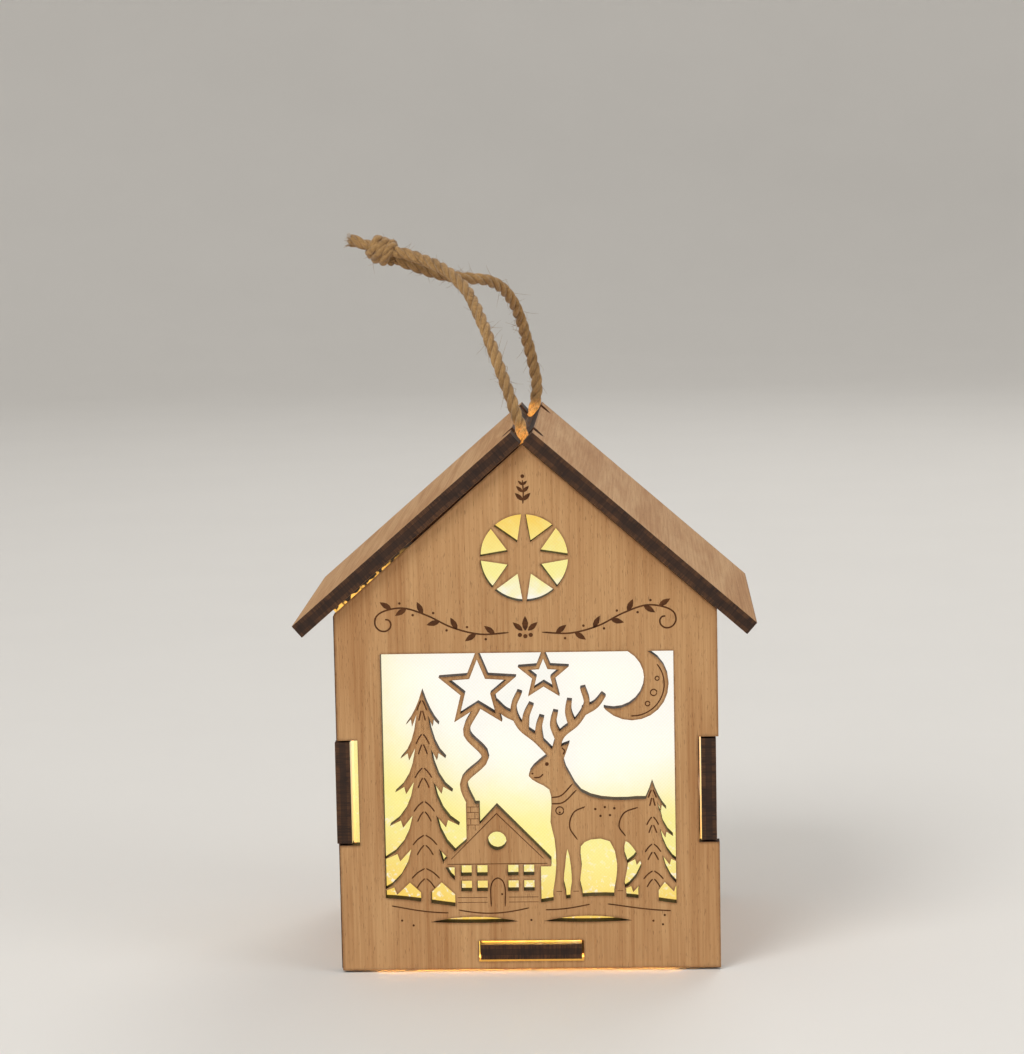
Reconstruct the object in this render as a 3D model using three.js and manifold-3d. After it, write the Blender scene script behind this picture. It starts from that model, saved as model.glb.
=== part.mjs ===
// Light-up house ornament: a slotted plywood house on a twine loop, lit by an LED light module in its floor.
// Millimetres, +Z up. Origin on the table under the middle of the house, gable with the fretwork facing -Y.
import * as THREE from 'three';
import { mergeVertices } from 'three/addons/utils/BufferGeometryUtils.js';
import Module from 'manifold-3d';

const wasm = await Module();
wasm.setup();

// Sheet stock and seams
const sheet = 2.4;
const seam = 0.3;
const curveSteps = 4;
const discSteps = 12;

// House body
const houseWidth = 60;
const houseDepth = 50;
const eaveHeight = 57.6;
const roofSlopeDeg = 41.3;
const gableFootGap = 0.35;
const sideShift = -0.4;

// Finger joints between the gables and the side panels
const notchBottom = 20.6;
const notchHeight = 16.9;
const notchSlack = 0.8;
const tabRecess = 0.1;

// Floor board and its tabs
const floorTabWidth = 16;
const slotSlackEnds = 0.35;
const slotSlackAbove = 0.66;
const slotSlackBelow = 0.27;

// Fretwork window of the front gable
const windowMarginLeft = 7.1;
const windowMarginRight = 6.9;
const sillStrip = 1.84;
const windowHead = 6.4;
const tieOverlap = 0.6;

// Winter scene in the fretwork window
const groundHeight = 4.4;
const groundSwell = 0.9;
const groundWaveLength = 36;
const tallFirHeight = 34;
const tallFirSpread = 7.4;
const tallFirInset = 6.4;
const tallFirTiers = 6;
const smallFirHeight = 19;
const smallFirSpread = 5.2;
const smallFirInset = 3.6;
const smallFirTiers = 4;
const firTrunkHalfWidth = 0.8;
const firTrunkHeight = 3.1;
const firRootDepth = 1.5;
const cottageInset = 17.8;
const cottageHalfWidth = 6.8;
const cottageWallHeight = 7.6;
const cottageRoofRise = 8.8;
const cottageEaves = 1.7;
const cottageEavesDrop = 1;
const cottageRoofEdge = 0.6;
const cottageRootDepth = 2;
const cottagePane = 1.7;
const cottagePaneBar = 0.8;
const cottagePaneSill = 2.7;
const cottagePaneOffset = 3.7;
const cottageLoftRadius = 1.5;
const cottageLoftRise = 3.2;
const chimneyNear = 2.7;
const chimneyFar = 4.8;
const chimneyAboveRidge = 0.4;
const smokeSway = 1.6;
const smokeWaves = 4;
const smokeFootWidth = 1.2;
const smokeTopWidth = 1;
const stagInset = 12.6;
const stagHeight = 34.2;
const stagHoofDepth = 0.8;
const antlerRootWidth = 1.3;
const antlerTipWidth = 0.8;
const driftHalfLength = 7;
const driftRise = 1;
const driftLift = 1.3;
const largeStarRadius = 6.4;
const largeStarInset = 15.2;
const smallStarRadius = 4.2;
const smallStarInset = 25.6;
const starWall = 0.66;
const starHub = 0.44;
const starTips = 5;
const moonRadius = 5.8;
const moonInset = 6.6;

// Rose window in both gables
const roseRadius = 6.86;
const roseHubRadius = 2.68;
const roseTipWidth = 0.62;
const rosePoints = 8;
const roseBelowPeak = 17.8;

// Lattice windows of the back gable and the side panels
const backWindowWidth = 33;
const backWindowHeight = 33;
const backWindowSill = 12.4;
const backWindowColumns = 3;
const backWindowRows = 3;
const sideWindowWidth = 22;
const sideWindowHeight = 27;
const sideWindowSill = 17;
const sideWindowColumns = 2;
const sideWindowRows = 3;
const latticeBar = 2;

// Diffuser sheets
const diffuserThickness = 0.4;
const diffuserFoot = 0.5;
const diffuserEdgeGap = 0.4;
const diffuserBelowRoof = 0.4;
const sideDiffuserLap = 3;

// Roof boards
const roofDepth = 54;
const eaveOverhang = 4.6;
const ridgeGap = 0.2;
const leftEaveLift = 0.4;

// Twine loop
const twineDiameter = 2;
const twineSides = 8;
const ridgeHoleClearance = 1;
const ridgeHoleInset = 5;
const legRootDepth = 0.8;
const innerRunDrop = 7;
const innerRunBend = 6.5;
const knotDiameter = 4.8;
const knotLength = 5.2;
const knotTailLength = 3.2;
const knotTailOffset = 0.84;

// Light module: cup, base plate and flange
const baseLift = 0.5;
const cupSideClearance = 0.24;
const cupWall = 1.2;
const cupHeight = 18.1;
const floorHoleClearance = 0.4;
const flangeLap = 1.2;
const basePlate = 1.1;

// Coin cell, its ring and the hinged battery door
const cellDiameter = 20;
const cellThickness = 3.2;
const cellSideClearance = 0.6;
const cellOffset = -2.5;
const cellCapInset = 1.2;
const cellCapStep = 0.5;
const cellSoftening = 0.4;
const ringWall = 1;
const ringAboveCell = 0.8;
const doorThickness = 0.8;
const hingeBarrelRadius = 1;
const hingeBarrelLength = 7;
const hingePinRadius = 0.45;
const hingePinClearance = 0.25;
const hingePinLength = 1.2;
const hingeLugWidth = 1.9;
const hingeLugRise = 0.7;
const lugStep = 0.05;

// Contact strips and leads
const stripThickness = 0.3;
const stripWidth = 4;
const stripEndLap = 2.2;
const stripBowHalfLength = 4;
const positiveStripRise = 2.6;
const positiveStripTongue = 1.8;
const leadDiameter = 0.5;
const leadPitch = 2.54;
const leadSides = 6;
const leadStep = 1.6;
const leadStraight = 3;

// Slide switch
const switchWidth = 4.6;
const switchLength = 9;
const switchWall = 0.6;
const switchRingGap = 1.2;
const sliderTravel = 2;
const sliderLength = 4.4;
const sliderHeight = 2;
const nubSize = 1.6;
const nubBelowBase = 0.25;

// LED and flame lens
const ledDiameter = 3;
const ledFlangeDiameter = 3.8;
const ledFlangeHeight = 1;
const ledHeight = 5.3;
const lensWall = 1.4;
const lensSpigotRadius = 3.7;
const lensSpigotDepth = 1.6;
const lensFlangeRadius = 6;
const lensFlangeHeight = 1;
const lensHeight = 20;
const lensBelly = 5.8;
const roundSteps = 40;
const smallRoundSteps = 20;

// Sizes that follow from the driving dimensions
const roofSlope = THREE.MathUtils.degToRad(roofSlopeDeg);
const peakHeight = eaveHeight + houseWidth / 2 * Math.tan(roofSlope);
const notchDepth = sheet + notchSlack;
const frontInnerY = -houseDepth / 2 + sheet;
const backInnerY = houseDepth / 2 - sheet;
const leftInnerX = -houseWidth / 2 + sheet + sideShift;
const rightInnerX = houseWidth / 2 - sheet + sideShift;
const baseTop = baseLift + basePlate;
const floorLift = baseTop + seam;
const floorTop = floorLift + sheet;
const windowSill = floorTop + slotSlackAbove + sillStrip;
const windowLeft = -houseWidth / 2 + windowMarginLeft;
const windowRight = houseWidth / 2 - windowMarginRight;
const windowTop = eaveHeight - windowHead;
const roseHeight = peakHeight - roseBelowPeak;
const diffuserFrontY = frontInnerY + seam;
const diffuserBackY = backInnerY - seam;
const floorFrontY = diffuserFrontY + diffuserThickness + seam;
const floorBackY = diffuserBackY - diffuserThickness - seam;
const ridgeUnder = peakHeight + seam / Math.cos(roofSlope);
const ridgeHoleRadius = twineDiameter / 2 + ridgeHoleClearance;
const frontHoleY = -houseDepth / 2 + ridgeHoleInset;
const rearHoleY = houseDepth / 2 - ridgeHoleInset;
const doorTop = baseLift + doorThickness;
const cellRadius = cellDiameter / 2;
const cellBottom = doorTop + seam;
const cellTop = cellBottom + cellThickness;
const ringInner = cellRadius + cellSideClearance;
const ringOuter = ringInner + ringWall;
const ringTop = cellTop + ringAboveCell;
const hingeX = cellOffset - ringOuter - seam - hingeBarrelRadius;
const hingeZ = baseLift + hingeBarrelRadius;
const lugEnd = hingeBarrelLength / 2 + seam + hingeLugWidth;
const switchX = cellOffset + ringOuter + switchRingGap + switchWidth / 2;
const switchBottom = baseTop + seam;
const stripBottom = ringTop + seam;
const nubBottom = baseLift - nubBelowBase;
const hingeReach = Math.hypot(hingeX - hingeBarrelRadius, lugEnd);
const switchReach = Math.hypot(switchX + switchWidth / 2, switchLength / 2);
const cupInnerRadius = Math.max(hingeReach, switchReach) + cupSideClearance;
const cupRadius = cupInnerRadius + cupWall;
const cupBottom = baseTop + seam;
const cupTop = cupBottom + cupHeight;
const floorHoleRadius = cupRadius + floorHoleClearance;
const flangeRadius = floorHoleRadius + flangeLap;
const ledBottom = cupTop - cupWall - seam;

// Finishes
const plywood = finish(0xa8743f, 0.75, 0);
const diffuserFilm = finish(0xfff0c8, 0.6, 0, 0xffc866);
const jute = finish(0x9a7a4c, 0.95, 0);
const ivoryPlastic = finish(0xece4d2, 0.5, 0);
const cellSteel = finish(0xb9bcc0, 0.3, 0.95);
const contactMetal = finish(0xc9a24a, 0.35, 0.9);
const tinnedWire = finish(0xbfc3c8, 0.35, 0.9);
const warmLens = finish(0xffe2a8, 0.35, 0, 0xffb648);
const ledEpoxy = finish(0xfff3cf, 0.1, 0, 0xffd890);
const switchPlastic = finish(0x24211f, 0.5, 0);

function finish(color, roughness, metalness, emissive = 0x000000) {
  return new THREE.MeshStandardMaterial({ color, roughness, metalness, emissive });
}

function piece(name, geometry, material) {
  const mesh = new THREE.Mesh(geometry, material);
  mesh.name = name;
  return mesh;
}

// Solids: joining and cutting of closed meshes
function solid(geometry) {
  const bare = geometry.clone();
  bare.deleteAttribute('normal');
  bare.deleteAttribute('uv');
  const merged = mergeVertices(bare, 1e-4);
  return new wasm.Manifold(new wasm.Mesh({
    numProp: 3,
    vertProperties: Float32Array.from(merged.attributes.position.array),
    triVerts: Uint32Array.from(merged.index.array),
  }));
}

function geometryOf(manifold) {
  const mesh = manifold.getMesh();
  const geometry = new THREE.BufferGeometry();
  geometry.setAttribute('position', new THREE.BufferAttribute(Float32Array.from(mesh.vertProperties), 3));
  geometry.setIndex(new THREE.BufferAttribute(Uint32Array.from(mesh.triVerts), 1));
  geometry.computeVertexNormals();
  return geometry;
}

function join(manifolds) {
  return manifolds.reduce((whole, next) => whole.add(next));
}

function block(width, depth, height, x, y, z) {
  return solid(new THREE.BoxGeometry(width, depth, height).translate(x, y, z));
}

function rod(radius, from, to, axis, sides = roundSteps) {
  const cylinder = new THREE.CylinderGeometry(radius, radius, to - from, sides);
  cylinder.translate(0, (from + to) / 2, 0);
  if (axis === 'z') cylinder.rotateX(Math.PI / 2);
  return cylinder;
}

// Flat sheets: drawn as they are cut, then stood up by their mesh
function plate(shape, thickness, steps = curveSteps) {
  return new THREE.ExtrudeGeometry(shape, { depth: thickness, bevelEnabled: false, curveSegments: steps });
}

function cutter(opening, thickness, steps) {
  return solid(plate(opening, 3 * thickness, steps).translate(0, 0, -thickness));
}

function cutPlate(shape, openings, thickness, steps) {
  const cuts = openings.map((opening) => cutter(opening, thickness, steps));
  return solid(plate(shape, thickness, steps)).subtract(join(cuts));
}

function outline(points) {
  return new THREE.Shape(points.map(([x, z]) => new THREE.Vector2(x, z)));
}

function rectangle(x0, z0, x1, z1) {
  return outline([[x0, z0], [x1, z0], [x1, z1], [x0, z1]]);
}

function disc(x, z, radius) {
  return new THREE.Shape().absarc(x, z, radius, 0, 2 * Math.PI, false);
}

function standAcross(mesh, frontY) {
  mesh.rotation.x = Math.PI / 2;
  mesh.position.y = frontY;
  return mesh;
}

function standAlong(mesh, leftX) {
  mesh.rotation.set(Math.PI / 2, 0, Math.PI / 2, 'ZYX');
  mesh.position.x = leftX;
  return mesh;
}

// Gable outline with the finger-joint notches in both edges
function gableShape() {
  const half = houseWidth / 2;
  const notchTop = notchBottom + notchHeight;
  const right = [
    [half, gableFootGap],
    [half, notchBottom],
    [half - notchDepth, notchBottom],
    [half - notchDepth, notchTop],
    [half, notchTop],
    [half, eaveHeight],
  ];
  const left = right.map(([x, z]) => [-x, z]).reverse();
  return outline([...right, [0, peakHeight], ...left]);
}

function floorSlot() {
  const slotHalf = floorTabWidth / 2 + slotSlackEnds;
  return rectangle(-slotHalf, floorLift - slotSlackBelow, slotHalf, floorTop + slotSlackAbove);
}

// The rose window is a pointed star whose tips tie it to the rim
function roseOpenings() {
  const step = 2 * Math.PI / rosePoints;
  const tipHalfAngle = roseTipWidth / 2 / roseRadius;
  return Array.from({ length: rosePoints }, (_, k) => {
    const start = Math.PI / 2 + k * step + tipHalfAngle;
    const end = Math.PI / 2 + (k + 1) * step - tipHalfAngle;
    const middle = (start + end) / 2;
    const opening = new THREE.Shape();
    opening.moveTo(roseHubRadius * Math.cos(middle), roseHeight + roseHubRadius * Math.sin(middle));
    opening.lineTo(roseRadius * Math.cos(start), roseHeight + roseRadius * Math.sin(start));
    opening.absarc(0, roseHeight, roseRadius, start, end, false);
    opening.closePath();
    return opening;
  });
}

function latticeOpenings(centre, sill, width, height, columns, rows) {
  const paneWidth = (width - latticeBar * (columns - 1)) / columns;
  const paneHeight = (height - latticeBar * (rows - 1)) / rows;
  const panes = [];
  for (let column = 0; column < columns; column += 1) {
    for (let row = 0; row < rows; row += 1) {
      const x = centre - width / 2 + column * (paneWidth + latticeBar);
      const z = sill + row * (paneHeight + latticeBar);
      panes.push(rectangle(x, z, x + paneWidth, z + paneHeight));
    }
  }
  return panes;
}

// Fretwork motifs, in the plane of the front gable
function ribbon(points, startWidth, endWidth) {
  const route = points.map(([x, z]) => new THREE.Vector3(x, z, 0));
  const curve = new THREE.CatmullRomCurve3(route, false, 'centripetal');
  const stepsPerPoint = 6;
  const steps = stepsPerPoint * (points.length - 1);
  const near = [];
  const far = [];
  for (let k = 0; k <= steps; k += 1) {
    const at = curve.getPointAt(k / steps);
    const along = curve.getTangentAt(k / steps);
    const half = THREE.MathUtils.lerp(startWidth, endWidth, k / steps) / 2;
    near.push([at.x - along.y * half, at.y + along.x * half]);
    far.unshift([at.x + along.y * half, at.y - along.x * half]);
  }
  return outline([...far, ...near].reverse());
}

function groundLevel(x) {
  const phase = 1.9;
  const angle = 2 * Math.PI * (x - windowLeft) / groundWaveLength + phase;
  return windowSill + groundHeight + groundSwell * Math.sin(angle);
}

function groundShape() {
  const steps = 2 * discSteps;
  const left = windowLeft - tieOverlap;
  const right = windowRight + tieOverlap;
  const top = Array.from({ length: steps + 1 }, (_, k) => {
    const x = THREE.MathUtils.lerp(right, left, k / steps);
    return [x, groundLevel(x)];
  });
  return outline([[left, windowSill - tieOverlap], [right, windowSill - tieOverlap], ...top]);
}

function driftSlit(x, z, halfLength, rise) {
  const underside = 0.4 * rise;
  const crown = 1.6 * rise;
  const slit = new THREE.Shape();
  slit.moveTo(x - halfLength, z);
  slit.quadraticCurveTo(x, z - underside, x + halfLength, z);
  slit.quadraticCurveTo(x, z + crown, x - halfLength, z);
  return slit;
}

function firShape(x, height, spread, tiers) {
  const base = groundLevel(x) - firRootDepth;
  const foot = base + firTrunkHeight;
  const tierHeight = (height + firRootDepth - firTrunkHeight) / tiers;
  const fir = new THREE.Shape();
  fir.moveTo(x, groundLevel(x) + height);
  const tiersDown = Array.from({ length: tiers }, (_, k) => k + 1);
  for (const k of tiersDown) addBranch(fir, x, foot, tierHeight, spread, tiers, k, 1);
  fir.lineTo(x + firTrunkHalfWidth, foot);
  fir.lineTo(x + firTrunkHalfWidth, base);
  fir.lineTo(x - firTrunkHalfWidth, base);
  fir.lineTo(x - firTrunkHalfWidth, foot);
  const tiersUp = tiersDown.slice().reverse();
  for (const k of tiersUp) addBranch(fir, x, foot, tierHeight, spread, tiers, k, -1);
  fir.closePath();
  return fir;
}

// One drooping branch: down its outer edge and back along its underside, or the other way on the left.
// Its points are shares of the branch's reach and of the tier's height.
const topBranchShare = 0.22;
const branchBend = [0.42, 0.32];
const branchNotch = [0.68, 0.16];
const branchSecondTip = [0.62, -0.06];
const branchRoot = [0.34, 0.3];

function addBranch(fir, x, foot, tierHeight, spread, tiers, k, side) {
  const tipOf = (tier) => foot + tierHeight * (tiers - tier);
  const reachOf = (tier) => spread * THREE.MathUtils.lerp(topBranchShare, 1, tier / tiers);
  const at = (tier, [across, up]) => [x + side * reachOf(tier) * across, tipOf(tier) + tierHeight * up];
  const tip = at(k, [1, 0]);
  const underside = [branchNotch, branchSecondTip, branchRoot].map((share) => at(k, share));
  if (side > 0) {
    fir.quadraticCurveTo(...at(k, branchBend), ...tip);
    for (const point of underside) fir.lineTo(...point);
  } else {
    for (const point of underside.reverse()) fir.lineTo(...point);
    fir.lineTo(...tip);
    const above = k > 1 ? at(k - 1, branchRoot) : [x, foot + tierHeight * tiers];
    fir.quadraticCurveTo(...at(k, branchBend), ...above);
  }
}

function starSolid(x, z, radius, wall) {
  const ring = (size) => Array.from({ length: 2 * starTips }, (_, k) => {
    const angle = Math.PI / 2 + k * Math.PI / starTips;
    const reach = size * (k % 2 ? starHub : 1);
    return [x + reach * Math.cos(angle), z + reach * Math.sin(angle)];
  });
  const inset = 2 * wall / Math.cos(Math.PI / starTips);
  return cutPlate(outline(ring(radius)), [outline(ring(radius - inset))], sheet);
}

function moonSolid(x, z, radius) {
  const biteShift = 0.5 * radius;
  const biteRise = 0.16 * radius;
  const biteRadius = 0.84 * radius;
  const bite = disc(x - biteShift, z + biteRise, biteRadius);
  return cutPlate(disc(x, z, radius), [bite], sheet, discSteps);
}

function cottageShape(x) {
  const base = groundLevel(x);
  const foot = base - cottageRootDepth;
  const wallTop = base + cottageWallHeight;
  const eavesLow = wallTop - cottageEavesDrop;
  const eavesReach = cottageHalfWidth + cottageEaves;
  const slopeAt = (dx) => wallTop + cottageRoofEdge + cottageRoofRise * (1 - dx / cottageHalfWidth);
  const top = chimneyTop(x);
  return outline([
    [x - cottageHalfWidth, foot],
    [x + cottageHalfWidth, foot],
    [x + cottageHalfWidth, eavesLow],
    [x + eavesReach, eavesLow],
    [x + eavesReach, wallTop],
    [x, wallTop + cottageRoofRise],
    [x - chimneyNear, slopeAt(chimneyNear)],
    [x - chimneyNear, top],
    [x - chimneyFar, top],
    [x - chimneyFar, slopeAt(chimneyFar)],
    [x - eavesReach, wallTop],
    [x - eavesReach, eavesLow],
    [x - cottageHalfWidth, eavesLow],
  ]);
}

function chimneyTop(x) {
  return groundLevel(x) + cottageWallHeight + cottageRoofRise + chimneyAboveRidge;
}

// Smoke curls up from the chimney to the large star, and ties the two together
function smokeShape(x) {
  const foot = [x - (chimneyNear + chimneyFar) / 2, chimneyTop(x) - tieOverlap];
  const starNotch = windowTop + tieOverlap - (1 + starHub) * largeStarRadius;
  const starFoot = [windowLeft + largeStarInset, starNotch];
  const route = Array.from({ length: smokeWaves + 1 }, (_, k) => {
    const atEnd = k === 0 || k === smokeWaves;
    const side = k % 2 ? -smokeSway : smokeSway;
    return [
      THREE.MathUtils.lerp(foot[0], starFoot[0], k / smokeWaves) + (atEnd ? 0 : side),
      THREE.MathUtils.lerp(foot[1], starFoot[1], k / smokeWaves),
    ];
  });
  return ribbon(route, smokeFootWidth, smokeTopWidth);
}

function cottagePanes(x) {
  const base = groundLevel(x);
  const panes = [disc(x, base + cottageWallHeight + cottageLoftRise, cottageLoftRadius)];
  for (const centre of [x - cottagePaneOffset, x + cottagePaneOffset]) {
    for (const dx of [-cottagePane - cottagePaneBar / 2, cottagePaneBar / 2]) {
      for (const dz of [0, cottagePane + cottagePaneBar]) {
        const left = centre + dx;
        const low = base + cottagePaneSill + dz;
        panes.push(rectangle(left, low, left + cottagePane, low + cottagePane));
      }
    }
  }
  return panes;
}

// A standing stag, muzzle to the left, drawn 34.2 tall about the ground point under its middle
function stagShapes(x) {
  const drawnHeight = 34.2;
  const size = stagHeight / drawnHeight;
  const ground = groundLevel(x) - stagHoofDepth;
  const place = ([dx, dz]) => [x + size * dx, ground + size * dz];
  const body = [
    [-10.4, 20.2], [-9.6, 21.7], [-7.7, 23.2], [-6.3, 24.2], [-3.9, 25.4], [-4.9, 22.7], [-3.9, 20.2],
    [-2.2, 17.6], [1, 16.4], [5, 16.2], [7.9, 16.3], [9.5, 15.4], [10.5, 13], [9.3, 13.2], [8.9, 10.6],
    [8.1, 8.2], [8.9, 6.3], [8.2, 3], [8.6, 0.1], [6.6, 0.1], [6.9, 3], [7.1, 6], [5.8, 8.6], [4.7, 9.6],
    [4.5, 7.4], [5, 5.8], [4.4, 2.8], [4.7, 0.1], [2.8, 0.1], [3.1, 3], [3.3, 6], [2.2, 9.6], [-0.8, 9.9],
    [-2.4, 8.8], [-2.3, 5.4], [-2.6, 2.8], [-2.2, 0.1], [-4.1, 0.1], [-3.9, 2.9], [-4, 5.6], [-4.5, 8.4],
    [-4.9, 5.6], [-5.2, 2.9], [-4.8, 0.1], [-6.8, 0.1], [-6.6, 3], [-6.3, 6], [-6.5, 10], [-7.1, 12.8],
    [-6.9, 15.6], [-7.2, 18], [-9, 19.1],
  ];
  const curve = new THREE.CatmullRomCurve3(
    body.map(place).map(([px, pz]) => new THREE.Vector3(px, pz, 0)), true, 'centripetal');
  const skin = outline(curve.getPoints(2 * body.length).slice(0, -1).map((p) => [p.x, p.y]).reverse());
  const antlers = [
    [[-6.3, 23.4], [-5.2, 26.6], [-2.6, 28.8], [-1.1, 31.6], [-1.7, 34.2]],
    [[-5.6, 26.3], [-6.4, 28.4], [-6, 30.4]],
    [[-3.4, 28.3], [-4, 30.4], [-3.8, 32.2]],
    [[-1.6, 30.4], [0.3, 31.4], [1.6, 33]],
    [[-6.7, 23.6], [-9, 26], [-11.6, 28.2], [-12.6, 31], [-11.6, 33.6]],
    [[-8.6, 25.7], [-8.7, 27.8], [-8.2, 29.6]],
    [[-10.9, 27.7], [-10.6, 29.8], [-9.8, 31.6]],
    [[-12.3, 29.6], [-14, 30.4], [-15.5, 32]],
  ];
  return [skin, ...antlers.map((beam) => ribbon(beam.map(place), antlerRootWidth, antlerTipWidth))];
}

function fretwork() {
  const shapes = [
    groundShape(),
    firShape(windowLeft + tallFirInset, tallFirHeight, tallFirSpread, tallFirTiers),
    cottageShape(windowLeft + cottageInset),
    smokeShape(windowLeft + cottageInset),
    ...stagShapes(windowRight - stagInset),
    firShape(windowRight - smallFirInset, smallFirHeight, smallFirSpread, smallFirTiers),
  ];
  const hung = (radius) => windowTop + tieOverlap - radius;
  return join([
    ...shapes.map((shape) => solid(plate(shape, sheet))),
    starSolid(windowLeft + largeStarInset, hung(largeStarRadius), largeStarRadius, starWall),
    starSolid(windowLeft + smallStarInset, hung(smallStarRadius), smallStarRadius, starWall),
    moonSolid(windowRight - moonInset, hung(moonRadius), moonRadius),
  ]);
}

function fretworkOpenings() {
  const level = windowSill + driftLift;
  const inset = 2 * driftHalfLength;
  return [
    ...cottagePanes(windowLeft + cottageInset),
    driftSlit(windowLeft + inset, level, driftHalfLength, driftRise),
    driftSlit(windowRight - inset, level, driftHalfLength, driftRise),
  ];
}

// House panels
function frontPanel() {
  const scene = rectangle(windowLeft, windowSill, windowRight, windowTop);
  const frame = cutPlate(gableShape(), [scene, floorSlot(), ...roseOpenings()], sheet);
  const openings = fretworkOpenings().map((shape) => cutter(shape, sheet, 2 * curveSteps));
  const panel = frame.add(fretwork()).subtract(join(openings));
  return standAcross(piece('front_panel', geometryOf(panel), plywood), frontInnerY);
}

function backPanel() {
  const panes = latticeOpenings(
    0, backWindowSill, backWindowWidth, backWindowHeight, backWindowColumns, backWindowRows);
  const panel = cutPlate(gableShape(), [floorSlot(), ...roseOpenings(), ...panes], sheet);
  return standAcross(piece('back_panel', geometryOf(panel), plywood), houseDepth / 2);
}

function sidePanel(name, innerX, side) {
  const end = houseDepth / 2 - sheet - seam;
  const tabEnd = houseDepth / 2 - tabRecess;
  const tabLow = notchBottom + seam;
  const tabHigh = notchBottom + notchHeight - seam;
  const outerX = Math.max(Math.abs(innerX) + sheet, houseWidth / 2);
  const top = eaveHeight - (outerX - houseWidth / 2) * Math.tan(roofSlope) - seam;
  const back = [[end, 0], [end, tabLow], [tabEnd, tabLow], [tabEnd, tabHigh], [end, tabHigh], [end, top]];
  const front = back.map(([y, z]) => [-y, z]).reverse();
  const panes = latticeOpenings(
    0, sideWindowSill, sideWindowWidth, sideWindowHeight, sideWindowColumns, sideWindowRows);
  const panel = cutPlate(outline([...back, ...front]), panes, sheet);
  return standAlong(piece(name, geometryOf(panel), plywood), side > 0 ? innerX : innerX - sheet);
}

function floorPanel() {
  const left = leftInnerX + seam;
  const right = rightInnerX - seam;
  const tabHalf = floorTabWidth / 2;
  const tabFront = -houseDepth / 2 + tabRecess;
  const tabBack = houseDepth / 2 - tabRecess;
  const shape = outline([
    [left, floorFrontY],
    [-tabHalf, floorFrontY],
    [-tabHalf, tabFront],
    [tabHalf, tabFront],
    [tabHalf, floorFrontY],
    [right, floorFrontY],
    [right, floorBackY],
    [tabHalf, floorBackY],
    [tabHalf, tabBack],
    [-tabHalf, tabBack],
    [-tabHalf, floorBackY],
    [left, floorBackY],
  ]);
  const hole = solid(rod(floorHoleRadius, -sheet, 2 * sheet, 'z'));
  const board = solid(plate(shape, sheet)).subtract(hole);
  const mesh = piece('floor_panel', geometryOf(board), plywood);
  mesh.position.z = floorLift;
  return mesh;
}

// Diffuser sheets, glued behind the openings
function gableDiffuser(name, frontY) {
  const left = leftInnerX + diffuserEdgeGap;
  const right = rightInnerX - diffuserEdgeGap;
  const roofLine = (x) => peakHeight - Math.abs(x) * Math.tan(roofSlope) - diffuserBelowRoof;
  const shape = outline([
    [left, diffuserFoot],
    [right, diffuserFoot],
    [right, roofLine(right)],
    [0, roofLine(0)],
    [left, roofLine(left)],
  ]);
  const slotHalf = floorTabWidth / 2 + seam;
  const slot = rectangle(-slotHalf, floorLift - seam, slotHalf, floorTop + seam);
  const film = geometryOf(cutPlate(shape, [slot], diffuserThickness));
  return standAcross(piece(name, film, diffuserFilm), frontY + diffuserThickness);
}

function sideDiffuser(name, leftX) {
  const half = sideWindowWidth / 2 + sideDiffuserLap;
  const low = sideWindowSill - sideDiffuserLap;
  const high = sideWindowSill + sideWindowHeight + sideDiffuserLap;
  const film = plate(rectangle(-half, low, half, high), diffuserThickness);
  return standAlong(piece(name, film, diffuserFilm), leftX);
}

// Roof boards, square cut, with half-round notches at the ridge for the twine
function roofBoard(name, side, slope) {
  const run = (houseWidth / 2 + eaveOverhang) / Math.cos(roofSlope);
  const half = roofDepth / 2;
  const shape = new THREE.Shape();
  shape.moveTo(ridgeGap, -half);
  shape.lineTo(run, -half);
  shape.lineTo(run, half);
  shape.lineTo(ridgeGap, half);
  for (const holeY of [rearHoleY, frontHoleY]) {
    shape.absarc(ridgeGap, holeY, ridgeHoleRadius, Math.PI / 2, -Math.PI / 2, true);
  }
  shape.closePath();
  const board = plate(shape, sheet);
  if (side < 0) board.rotateZ(Math.PI);
  const mesh = piece(name, board, plywood);
  mesh.rotation.y = side * slope;
  mesh.position.z = ridgeUnder;
  return mesh;
}

// Twine: each route is a list of points from the ridge peak, chosen by hand
const frontLegRoute = [
  [0, frontHoleY, -legRootDepth], [-0.1, frontHoleY, 1.2], [-1, -19.5, 3.9], [-1.9, -18.9, 6.6],
  [-2.9, -18, 9.3], [-3.9, -16.8, 12], [-4.8, -15.4, 14.4], [-5.7, -13.8, 16.5], [-6.7, -12, 18.7],
  [-7.7, -10.2, 20.7], [-9, -8, 22.8], [-11.6, -5.2, 25.2], [-14.2, -2.8, 26.7], [-17, -0.9, 27.7],
  [-20.2, 0.2, 28.7],
];
const rearLegRoute = [
  [0.2, rearHoleY, -legRootDepth], [0.6, rearHoleY, 1.4], [1, 20, 3.4], [1.1, 19.8, 5.6], [0.7, 19.4, 8],
  [0.2, 18.9, 10.4], [-0.4, 18.1, 13], [-1.1, 16.7, 15.8], [-1.9, 14.6, 18.4], [-2.9, 12.2, 20.6],
  [-4.3, 9.6, 22.4], [-6.2, 7.2, 23.5], [-8.7, 5.2, 24], [-11.4, 4, 24.3], [-14.4, 3.1, 25],
  [-17.4, 2.4, 26.1], [-20.1, 2, 27.2],
];
const knotFromPeak = new THREE.Vector3(-23, 1.1, 28.95);
const knotLean = new THREE.Vector3(-0.94, 0, 0.34);

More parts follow.
